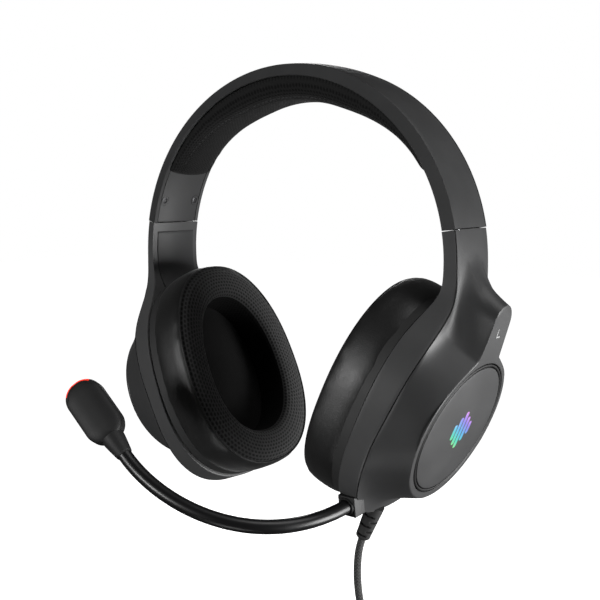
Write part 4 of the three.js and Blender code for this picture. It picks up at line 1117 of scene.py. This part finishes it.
def cup_interior(side, word):
    """The rubber ring behind the ear pad and the cloth over the speaker; the cloth is black, made darker
    still as painted shade deep in the cup.
    """
    body = f"cup_{word}"
    back = egg_ring(PAD, grow=-1)
    inside = egg_ring(PAD, grow=-3.5)
    section = [(inset(back, 0.3), RING_FROM), (back, RING_FROM + 0.3), (back, RING_TO), (inside, RING_TO),
               (inside, RING_FROM)]
    rings = [cup(side, points, depth) for points, depth in section]
    ring = torus(f"pad_carrier_{word}", rings, RUBBER)
    attach(ring, body, "dark", f"pad_ring_{word}")

    rows = 26
    edge = egg_ring(PAD, grow=-6)
    size = len(edge)
    verts, uvs = [], []
    for k in range(rows + 1):
        t = k / rows
        points = (edge * t + np.array([PAD["u"], 0]) * (1 - t))[:size if k else 1]
        verts.append(cup(side, points, RING_FROM - 0.32 + 0.12 * t))
        uvs.append(points)
    faces = [(0, 1 + i, 1 + (i + 1) % size) for i in range(size)]
    faces += [tuple(v + 1 for v in f) for f in ring_faces(rows, size, False)]
    if side > 0:
        faces = [f[::-1] for f in faces]
    cloth = mesh_piece(f"speaker_screen_{word}", np.vstack(verts), faces, SPEAKER_CLOTH_PAINTED_SHADE, np.vstack(uvs))
    attach(cloth, body, "fabric", f"speaker_cloth_{word}")


def disc(side, word):
    """The ring in the plate's recess and the domed disc inside it."""
    body = f"cup_{word}"
    m = cup_matrix(side, DISC_U, 0, PLATE_DEPTH)
    low = GAP - RECESS
    ring = turned_ring(f"disc_trim_{word}", [(32.85, low), (32.85, -0.35), (32.6, -0.05), (32.25, 0.05),
                                             (31.95, -0.1), (31.75, -0.5), (31.7, low)], m, DARK)
    attach(ring, body, "dark", f"disc_ring_{word}")
    dome = [(r, dome_height(r)) for r in np.linspace(DOME_R - 0.7, 0, 30)]
    face = turned(f"disc_face_{word}", [(0, low), (DOME_R, low), (DOME_R, -0.25), (DOME_R - 0.2, 0)] + dome,
                  m, SHELL, 128)
    attach(face, body, "shell", f"disc_cover_{word}")


def dome_height(r):
    return DOME_RISE * (1 - (r / DOME_R) ** 2) ** 0.8


def emblem(side, word):
    """Five lit rounded bars, like a level meter, let into the disc."""
    m = cup_matrix(side, DISC_U, 0, PLATE_DEPTH)
    verts, faces, uvs = [], [], []
    turn = np.linspace(0, math.pi, 13)
    cap = BAR_HALF * np.column_stack([np.sin(turn), np.cos(turn)])
    size = 2 * len(cap)
    for k, height in enumerate(BARS):
        end, across = (height - BAR_HALF, 0), (k - 2) * BAR_PITCH
        ring = np.vstack([cap + end, -cap - end]) + (0, across)
        spine = np.column_stack([np.clip(ring[:, 0], -end[0], end[0]), np.full(size, across)])
        for shrink, lift in ((0, -0.4), (0, 0.05), (0.18, 0.14)):
            p = spine + (ring - spine) * (1 - shrink / BAR_HALF)
            verts.append(np.column_stack([p, dome_height(np.linalg.norm(p, axis=1)) + lift]))
            u, y = p.T
            uvs.append(np.column_stack([(u * 0.8 + y * side * 0.5 + 9.5) / 19, y / 24 + 0.5]))
        start = 3 * k * size
        faces += [tuple(start + i for i in f) for f in ring_faces(3, size, False)]
        faces += [tuple(range(start + 2 * size, start + 3 * size)), tuple(range(start, start + size))[::-1]]
    points = transform(np.vstack(verts), m)
    piece = outward(mesh_piece(f"emblem_bars_{word}", points, faces, GLOW, np.vstack(uvs)))
    attach(piece, f"cup_{word}", "lamp", f"emblem_lens_{word}")


def side_letter(side, word):
    """A plain L or R on the tongue."""
    size = LETTER["size"]
    strokes = [[(0, 0), (size, 0)]]
    if side > 0:
        strokes.append([(0, 0), (0, 2.9)])
    else:
        strokes.append([(size, 0), (size, 1.5), (size * 0.78, 2.15), (size * 0.55, 1.5), (size * 0.5, 0)])
        strokes.append([(size * 0.5, 1.1), (0, 2.2)])
    verts, faces = [], []
    for line in strokes:
        for a, b in zip(np.array(line), np.array(line[1:])):
            way = (b - a) / np.linalg.norm(b - a) * LETTER["stroke"] / 2
            across = np.array([-way[1], way[0]])
            start = len(verts)
            for lift in (-0.3, 0.09):
                for p in (a - way + across, b + way + across, b + way - across, a - way - across):
                    u, y = LETTER["foot"] + p[0], side * (p[1] - LETTER["middle"])
                    verts += list(cup(side, [(u, y)], plate_depth(u, side) + lift))
            faces.append(tuple(range(start + 4, start + 8)))
            faces += [tuple(start + i for i in f) for f in ring_faces(2, 4, False)]
    piece = outward(mesh_piece(f"side_letter_{word}", verts, faces, MARK))
    attach(piece, f"cup_{word}", "trim")


def arm_parts(side, word):
    """The panel on the arm's inner face."""
    top = arch_in_cup(INNER_R, PANEL_A)[0]
    us = np.linspace(PANEL_FOOT, top, 24)

    def panel(name, half, grow, low, high, material):
        rings = []
        for u in [us[0] - grow, *us[1:-1], us[-1] + grow]:
            corners = [(u, -half), (u, -half), (u, half), (u, half)]
            rings.append(cup(side, corners, inner_depth(u) + np.array([high, low, low, high])))
        return loft(name, rings, material)

    rim = panel(f"arm_gap_{word}", PANEL_HALF + 0.35, 0.35, -0.03, 0.8, DARK)
    plate = bevel(panel(f"arm_panel_{word}", PANEL_HALF, 0, -0.28, 0.9, TRIM), 0.25)
    attach(rim, f"cup_{word}", "dark")
    attach(plate, f"cup_{word}", "trim", f"arm_plate_{word}")


def cup_shells(side, word):
    """The outer cover and the side band, slotted for the slider and, on the left, the controls."""
    attach(outer_cover(side, word), f"cup_{word}", "shell", f"housing_outer_{word}")
    band = side_band(side, word)
    tools = [box("slot", (side * BLADE_X, 0, -60), (1.7, 14.8, 40), DARK)]
    if side > 0:
        y = WHEEL["y"] + 5
        tools += [left_box("wheel_slot", WHEEL, y, (2 * WHEEL["r"] - 0.4, 12, WHEEL["t"] + 0.8), DARK),
                  left_box("button_slot", BUTTON, y, (BUTTON["l"] + 0.6, 12, BUTTON["w"] + 0.6), DARK)]
    attach(cut(band, *tools, angle=30), f"cup_{word}", "trim", f"housing_inner_{word}")


def left_box(name, control, y, size, material):
    """A box at one of the left cup's controls."""
    return in_frame(box(name, (0, 0, 0), size, material), cup_matrix(1, control["u"], y, control["d"]))


def controls():
    """The knurled volume wheel and the mute button on the left cup's rear edge."""
    w = WHEEL
    m = cup_matrix(1, w["u"], w["y"], w["d"])
    teeth, per = 34, 6
    t = np.arange(teeth * per) * 2 * math.pi / (teeth * per)
    groove = np.clip(np.cos(t * teeth) * 1.6 - 0.4, 0, 1)
    rings = []
    half = w["t"] / 2
    for z, drop, depth in ((-half, 0.5, 0), (0.3 - half, 0.1, 0.55), (half - 0.3, 0.1, 0.55), (half, 0.5, 0)):
        rings.append(transform(circle(w["r"] - drop - depth * groove, z, len(t)), m))
    wheel = loft("volume_dial", rings, RUBBER)
    attach(wheel, "volume_wheel", "rubber", "volume_wheel")
    cap = left_box("mute_cap", BUTTON, BUTTON["y"] - 3.5, (BUTTON["l"], 7, BUTTON["w"]), RUBBER)
    bevel(cap, 0.7, 4)
    attach(cap, "mute_button", "rubber", "mute_button")


# ---------- Microphone ----------
def bezier(points, steps):
    t = np.linspace(0, 1, steps)[:, None]
    a, b, c, d = (np.array(p, float) for p in points)
    return (1 - t) ** 3 * a + 3 * t * (1 - t) ** 2 * b + 3 * t * t * (1 - t) * c + t ** 3 * d


def along_line(points, at):
    """Points at distances along a line; before its start the line runs straight on."""
    first = (points[1] - points[0]) / np.linalg.norm(points[1] - points[0])
    return point_at(points, at) + np.minimum(0, at)[:, None] * first


BOOM_LINE = bezier(BOOM, 3000)
BOOM_L = float(way_along(BOOM_LINE)[-1])


def boom():
    """Two lengths of one glossy tube, standing in for the gooseneck's CAD nodes."""
    def place(s):
        return tuple(along_line(BOOM_LINE, [s])[0] * MM)

    lengths = [("boom_lower_tube", -1.5, 35, "cup_left", "boom_lower", 4, 16,
                ("gooseneck_root", "gooseneck_lower")),
               ("boom_upper_tube", 35, BOOM_L + 0.2, "boom_lower", "boom_upper", 48, 72,
                ("gooseneck_upper",))]
    for name, start, end, a, b, bend_from, bend_to, nodes in lengths:
        points = along_line(BOOM_LINE, np.linspace(start, end, int((end - start) * 1.6)))
        piece = tube(name, points, BOOM_R, GLOSS, 40)
        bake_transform(piece)
        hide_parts(*nodes)


def socket_matrix():
    along = Vector(BOOM_LINE[1] - BOOM_LINE[0]).normalized()
    up = (Vector((0, 0, 1)) - along * along.z).normalized()
    m = Matrix((along, up, along.cross(up))).transposed().to_4x4()
    m.translation = Vector(BOOM[0])
    return m


def mic_socket():
    """The block the boom comes out of, with a soft grommet in its mouth."""
    m = socket_matrix()
    lathe = m @ Matrix(((0, 0, 1, 0), (0, 1, 0, 0), (-1, 0, 0, 0), (0, 0, 0, 1)))
    block = in_frame(box("socket_block", (-SOCKET_L / 2, 0, 0), (SOCKET_L, SOCKET, SOCKET), BLOCK), m)
    bevel(block, 0.55, 4)
    cut(block, turned("bore", [(0, -3), (BOOM_R + 0.45, -3), (BOOM_R + 0.45, 1), (0, 1)], lathe, BLOCK, 48))
    lip = [(3.24, -1.2), (3.3, 0.55), (3.5, 0.8), (3.85, 0.8), (4.12, 0.5), (4.2, 0.02), (3.6, -0.2),
           (3.6, -1.2)]
    grommet = turned_ring("socket_grommet", lip, lathe, DARK, 48)
    attach(block, "cup_left", "trim", "mic_socket")
    attach(grommet, "cup_left", "rubber", "mic_grommet")


def head_matrix():
    front = (Vector((0, -1, 0)) + HEAD_AXIS * HEAD_AXIS.y).normalized()
    m = Matrix((front, HEAD_AXIS.cross(front), HEAD_AXIS)).transposed().to_4x4()
    m.translation = Vector(BOOM[3])
    return m @ Matrix.Rotation(HEAD_TURN, 4, "Z")


def head_flat(side):
    """How far the flats push the head's outline out, at a cosine of the angle round it."""
    return HEAD_FLAT * np.sign(side) * np.minimum(1, np.abs(side) * 6)


def head_points():
    """The head's long rounded outline as [across, along]."""
    ring = []
    for centre, start in ((HEAD_TOP, 0), (HEAD_FROM + HEAD_R, math.pi)):
        t = start + np.linspace(0, math.pi, 28)
        ring.append(np.column_stack([HEAD_R * np.cos(t) + head_flat(np.cos(t)), centre + HEAD_R * np.sin(t)]))
    return np.vstack(ring)


# The head's crowned front, from its seam inwards: (forward, distance in from the outline).
HEAD_CROWN = [(0.6, 0), (1.6, 0), (2.4, 0.06), (3.0, 0.22), (3.5, 0.5), (3.95, 0.95), (4.35, 1.55),
              (4.7, 2.3), (5.0, 3.2), (5.3, 4.4), (5.5, 5.8), (HEAD_FRONT, 7.2)]


def mic_head():
    """The microphone head: a crowned front, a rounded back, a collar and the lit bar round its tip."""
    m = head_matrix()
    crown = np.array(HEAD_CROWN)
    base = head_points()
    centre = np.column_stack([np.zeros(len(base)), np.clip(base[:, 1], HEAD_FROM + HEAD_R, HEAD_TOP)])
    seam_at = 1.6 + 5.4 * smooth((base[:, 1] - HEAD_TOP - 0.5) / 3.0)

    def on_profile(at):
        return [np.interp(at, np.arange(len(crown)), column) for column in crown.T]

    def level(forward, inward):
        out = base - centre
        reach = np.linalg.norm(out, axis=1)
        points = centre + out * (np.maximum(0.25, reach - inward) / reach)[:, None]
        return transform(np.column_stack([np.broadcast_to(forward, len(base)), points]), m)

    def on_crown(at, sink=0.0, spread=0.0):
        forward, inward = on_profile(at)
        return level(forward - sink, inward + spread)

    last = len(crown) - 1
    rings = [on_crown(seam_at + 0.1, 0.9, 0.3), on_crown(seam_at + 0.12, 0.12, 0.12)]
    rings += [on_crown(seam_at + 0.2 + (last - seam_at - 0.2) * t) for t in np.linspace(0, 1, 34)]
    front = loft("mic_front", rings, MIC)
    rings = [level(rise - HEAD_BACK, inward) for rise, inward in (
        (0, 6), (0.08, 4.4), (0.3, 3.1), (0.75, 1.9), (1.4, 0.95), (2.2, 0.3), (3.1, 0),
        (HEAD_BACK - 0.5, 0))]
    rings += [on_crown(-0.12 * (1 - t) + (seam_at - 0.12) * t) for t in np.linspace(0, 1, 16)]
    rings += [on_crown(seam_at - 0.06, 0.12, 0.1), on_crown(seam_at - 0.04, 1.0, 0.3), level(-2, 5)]
    back = loft("mic_back", rings, MIC)

    cone = [(0, 0.3), (3.5, 0.3), (3.78, 0.55), (4.15, 2.6), (4.7, 5.6), (5.15, 8.5), (5.2, 10.5), (0, 10.5)]
    collar = turned("mic_collar", cone, m, MIC)
    seam = turned_ring("mic_collar_ring", [(3.15, -0.1), (3.6, 0.05), (3.6, 0.5), (3.15, 0.5)], m, DARK, 48)

    rings = []
    for t in math.pi / 2 + np.linspace(-0.95, 0.95, 40):
        section = []
        for at, lift in ((4.0, -0.4), (4.1, 0.06), (4.8, 0.12), (5.5, 0.07), (5.6, -0.4)):
            forward, inward = on_profile(at)
            reach = HEAD_R + head_flat(math.cos(t)) * math.cos(t) - inward + lift * 0.6
            section.append((forward + lift * 0.8, reach * math.cos(t), HEAD_TOP + reach * math.sin(t)))
        rings.append(transform(section, m))
    light = loft("mic_light_bar", rings, RED)

    attach(front, "boom_upper", "shell", "mic_shell_front")
    attach(back, "boom_upper", "trim", "mic_shell_back")
    attach(collar, "boom_upper", "trim", "mic_neck")
    attach(light, "boom_upper", "red_lamp", "mic_light")
    attach(seam, "boom_upper", "dark")


# ---------- Cord ----------
def rounded_line(points, count):
    """A smooth curve through points, in equal steps."""
    p = np.array(points)
    s = way_along(p)
    fine = curve(p, s, np.interp(np.arange(50 * (len(p) - 1) + 1) / 50, np.arange(len(p)), s))
    return point_at(fine, np.linspace(0, way_along(fine)[-1], count))


# Where each turn lies in the coil's section: ten places round the outside, four inside them.
OUTER = [BUNDLE_R * np.array([math.cos(a), math.sin(a)]) for a in np.arange(10) * math.pi / 5]
INSIDE = [CORE_R * np.array([math.cos(a), math.sin(a)]) for a in np.radians([150, 60, -30, -120])]
PLACES = OUTER[:5] + INSIDE + OUTER[5:]


def coil_points(per_turn):
    """Turns beside and on each other; each steps to its neighbour's place on the far side, under the tie."""
    points = []
    for k in range(COIL_TURNS * per_turn + 1):
        turn = k / per_turn
        done = math.floor(turn)
        step = float(smooth((turn - done - 0.36) / 0.28))
        here, after = (PLACES[min(place, COIL_TURNS - 1)] for place in (done, done + 1))
        rho, side = here + (after - here) * step
        a = -2 * math.pi * turn
        x, y, z = COIL_CENTRE
        points.append((x + (COIL_R + rho) * math.cos(a), y + side, z + (COIL_R + rho) * math.sin(a)))
    return points


def cord_route(per_turn, lead, tail):
    x, y, z = COIL_CENTRE
    r = COIL_R + PLACES[0][0]
    first = [(38.5, -6.7, -205.2)] + CORD_PATH
    first += [(x + r * math.cos(a), y, z + r * math.sin(a)) for a in (0.86, 0.42)]
    turns = coil_points(per_turn)
    lx, ly, lz = turns[-1]
    down = ((0, 0, 0), (-0.2, 0, -8), (-1.3, 0.4, -18), (-3.3, 1.9, -27), (-4.8, 3.3, -34))
    last = [(lx + dx, ly + dy, lz + dz) for dx, dy, dz in down] + [(51.5, y, PLUG_TOP - 3)]
    return np.vstack([rounded_line(first + [turns[0]], lead)[:-1], turns, rounded_line(last, tail)[1:]])


def cords():
    path = cord_route(24, 26, 12)
    lead = tube("lead", cord_route(60, 110, 50), CORD_D / 2, BRAID, 20)
    attach(lead, "cup_left", "fabric", "cord", "cord_coil", "cord_tail")
    tie = coil_tie()
    plug = usb_plug()
    strain_relief()


def coil_tie():
    """A soft strap wrapped round the coil's left side, its end pressed onto itself."""
    x, y, z = COIL_CENTRE
    n = 60
    t = np.linspace(0, 2 * math.pi * TIE["turns"], n)
    r = TIE["r"] + TIE["lap"] * smooth((t - 5.0) / 1.1)
    verts, faces = [], []
    for reach in (r + TIE["t"], r):
        for height in (-TIE["half"], TIE["half"]):
            verts.append(np.column_stack([x - COIL_R + reach * np.cos(t + 2.4), y + reach * np.sin(t + 2.4),
                                          np.full(n, z + height)]))
    for i in range(n - 1):
        a, b, c, d = i, n + i, 2 * n + i, 3 * n + i
        faces += [(a, a + 1, b + 1, b), (c, d, d + 1, c + 1), (b, b + 1, d + 1, d), (a, c, c + 1, a + 1)]
    faces += [(0, n, 3 * n, 2 * n), (n - 1, 3 * n - 1, 4 * n - 1, 2 * n - 1)]
    tie = outward(mesh_piece("lead_tie", np.vstack(verts), faces, STRAP))
    bevel(tie, 0.2, 2, 60)
    attach(tie, "cup_left", "rubber", "cord_tie")
    return tie


def usb_plug():
    """The moulded body, its grip lines and its flexible neck."""
    x, y = COIL_CENTRE[0] + COIL_R, COIL_CENTRE[1]
    t = np.arange(48) * 2 * math.pi / 48

    def ring(drop, w, d, n):
        c, s = (np.sign(v) * np.abs(v) ** (2 / n) for v in (np.cos(t), np.sin(t)))
        return np.column_stack([x + w * c, y + d * s, np.full(len(t), PLUG_TOP - drop)])

    rows = [(0, 2.3, 2.3, 2), (0.2, 2.6, 2.6, 2)]
    for top in 1 + 1.8 * np.arange(4):
        rows += [(top + drop, r, r, 2) for drop, r in ((0, 2.7), (0.1, 2.2), (0.7, 2.2), (0.8, 2.8))]
    rows += [(8.4, 3.2, 3, 2.2), (9.2, 6.6, 3.7, 3.2), (9.9, 7.7, 4.1, 4), (11, 8, 4.2, 5)]
    for top in 14 + 1.6 * np.arange(4):
        rows += [(top + drop, w, d, 5) for drop, w, d in ((0, 8, 4.2), (0.1, 7.7, 3.95), (0.6, 7.7, 3.95),
                                                          (0.7, 8, 4.2))]
    rows += [(26.6, 8, 4.2, 5), (27.5, 7.8, 4, 5), (28, 7.4, 3.6, 5)]
    body = loft("plug_grip", [ring(*row) for row in rows], RUBBER, angle=30)
    attach(body, "cup_left", "rubber", "usb_plug_body")
    return [body]


def strain_relief():
    """A tapered sleeve with slots that alternate round it."""
    r = RELIEF
    root = Vector(cup(1, [(r["u"], r["y"])], r["d"])[0])
    axis = Vector((-math.sin(TILT), 0, -math.cos(TILT)))
    facing = Vector((0.576, -0.81, 0))
    front = (facing - axis * facing.dot(axis)).normalized()
    right = front.cross(axis)
    slots = [2.2 + 2.75 * k for k in range(5)]
    stops = {-2.5, 0.0, r["length"] - 0.7, r["length"] - 0.25, r["length"]}
    for z in slots:
        stops |= {z - 0.55, z - 0.42, z + 0.42, z + 0.55}
    t = np.linspace(-math.pi, math.pi, 97)[:-1]
    rings = []
    for z in sorted(stops):
        radius = r["r"] - 0.85 * z / r["length"]
        radius -= 0.5 * max(0, (z - r["length"] + 0.7) / 0.7) ** 2
        depth = np.zeros(len(t))
        for k, slot in enumerate(slots):
            if abs(z - slot) < 0.5:
                middle = -0.62 if k % 2 == 0 else 0.95
                away = np.abs(np.angle(np.exp(2j * (t - middle)))) / 2
                depth = 1.3 * smooth((0.98 - away) / 0.14)
        out = np.cos(t)[:, None] * np.array(front) + np.sin(t)[:, None] * np.array(right)
        rings.append(np.array(root + axis * z) + (radius - depth)[:, None] * out)
    sleeve = loft("lead_relief", rings, RUBBER, angle=28)
    attach(sleeve, "cup_left", "rubber", "strain_relief")


# ---------- Everything, cords first ----------
cords()
headband()
cushion()
for cup_side, cup_word in ((1, "left"), (-1, "right")):
    cup_shells(cup_side, cup_word)
    arm_parts(cup_side, cup_word)
    ear_pad(cup_side, cup_word)
    cup_interior(cup_side, cup_word)
    disc(cup_side, cup_word)
    emblem(cup_side, cup_word)
    side_letter(cup_side, cup_word)
mic_socket()
boom()
mic_head()
controls()

# Finishes of the inner CAD parts, by the start of their names; the others are dark.
INSIDES = {"headband_spring": STEEL, "headband_wire": RUBBER, "baffle": DARK, "driver": STEEL,
           "led_board": BOARD, "slider_blade": STEEL, "detent_spring": STEEL, "main_board": BOARD,
           "mic_capsule": STEEL, "usb_plug_shell": STEEL}
for node_name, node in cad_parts.items():
    finish = next((m for key, m in INSIDES.items() if node_name.startswith(key)), DARK)
    for k in range(len(node.material_slots)):
        node.material_slots[k].material = finish
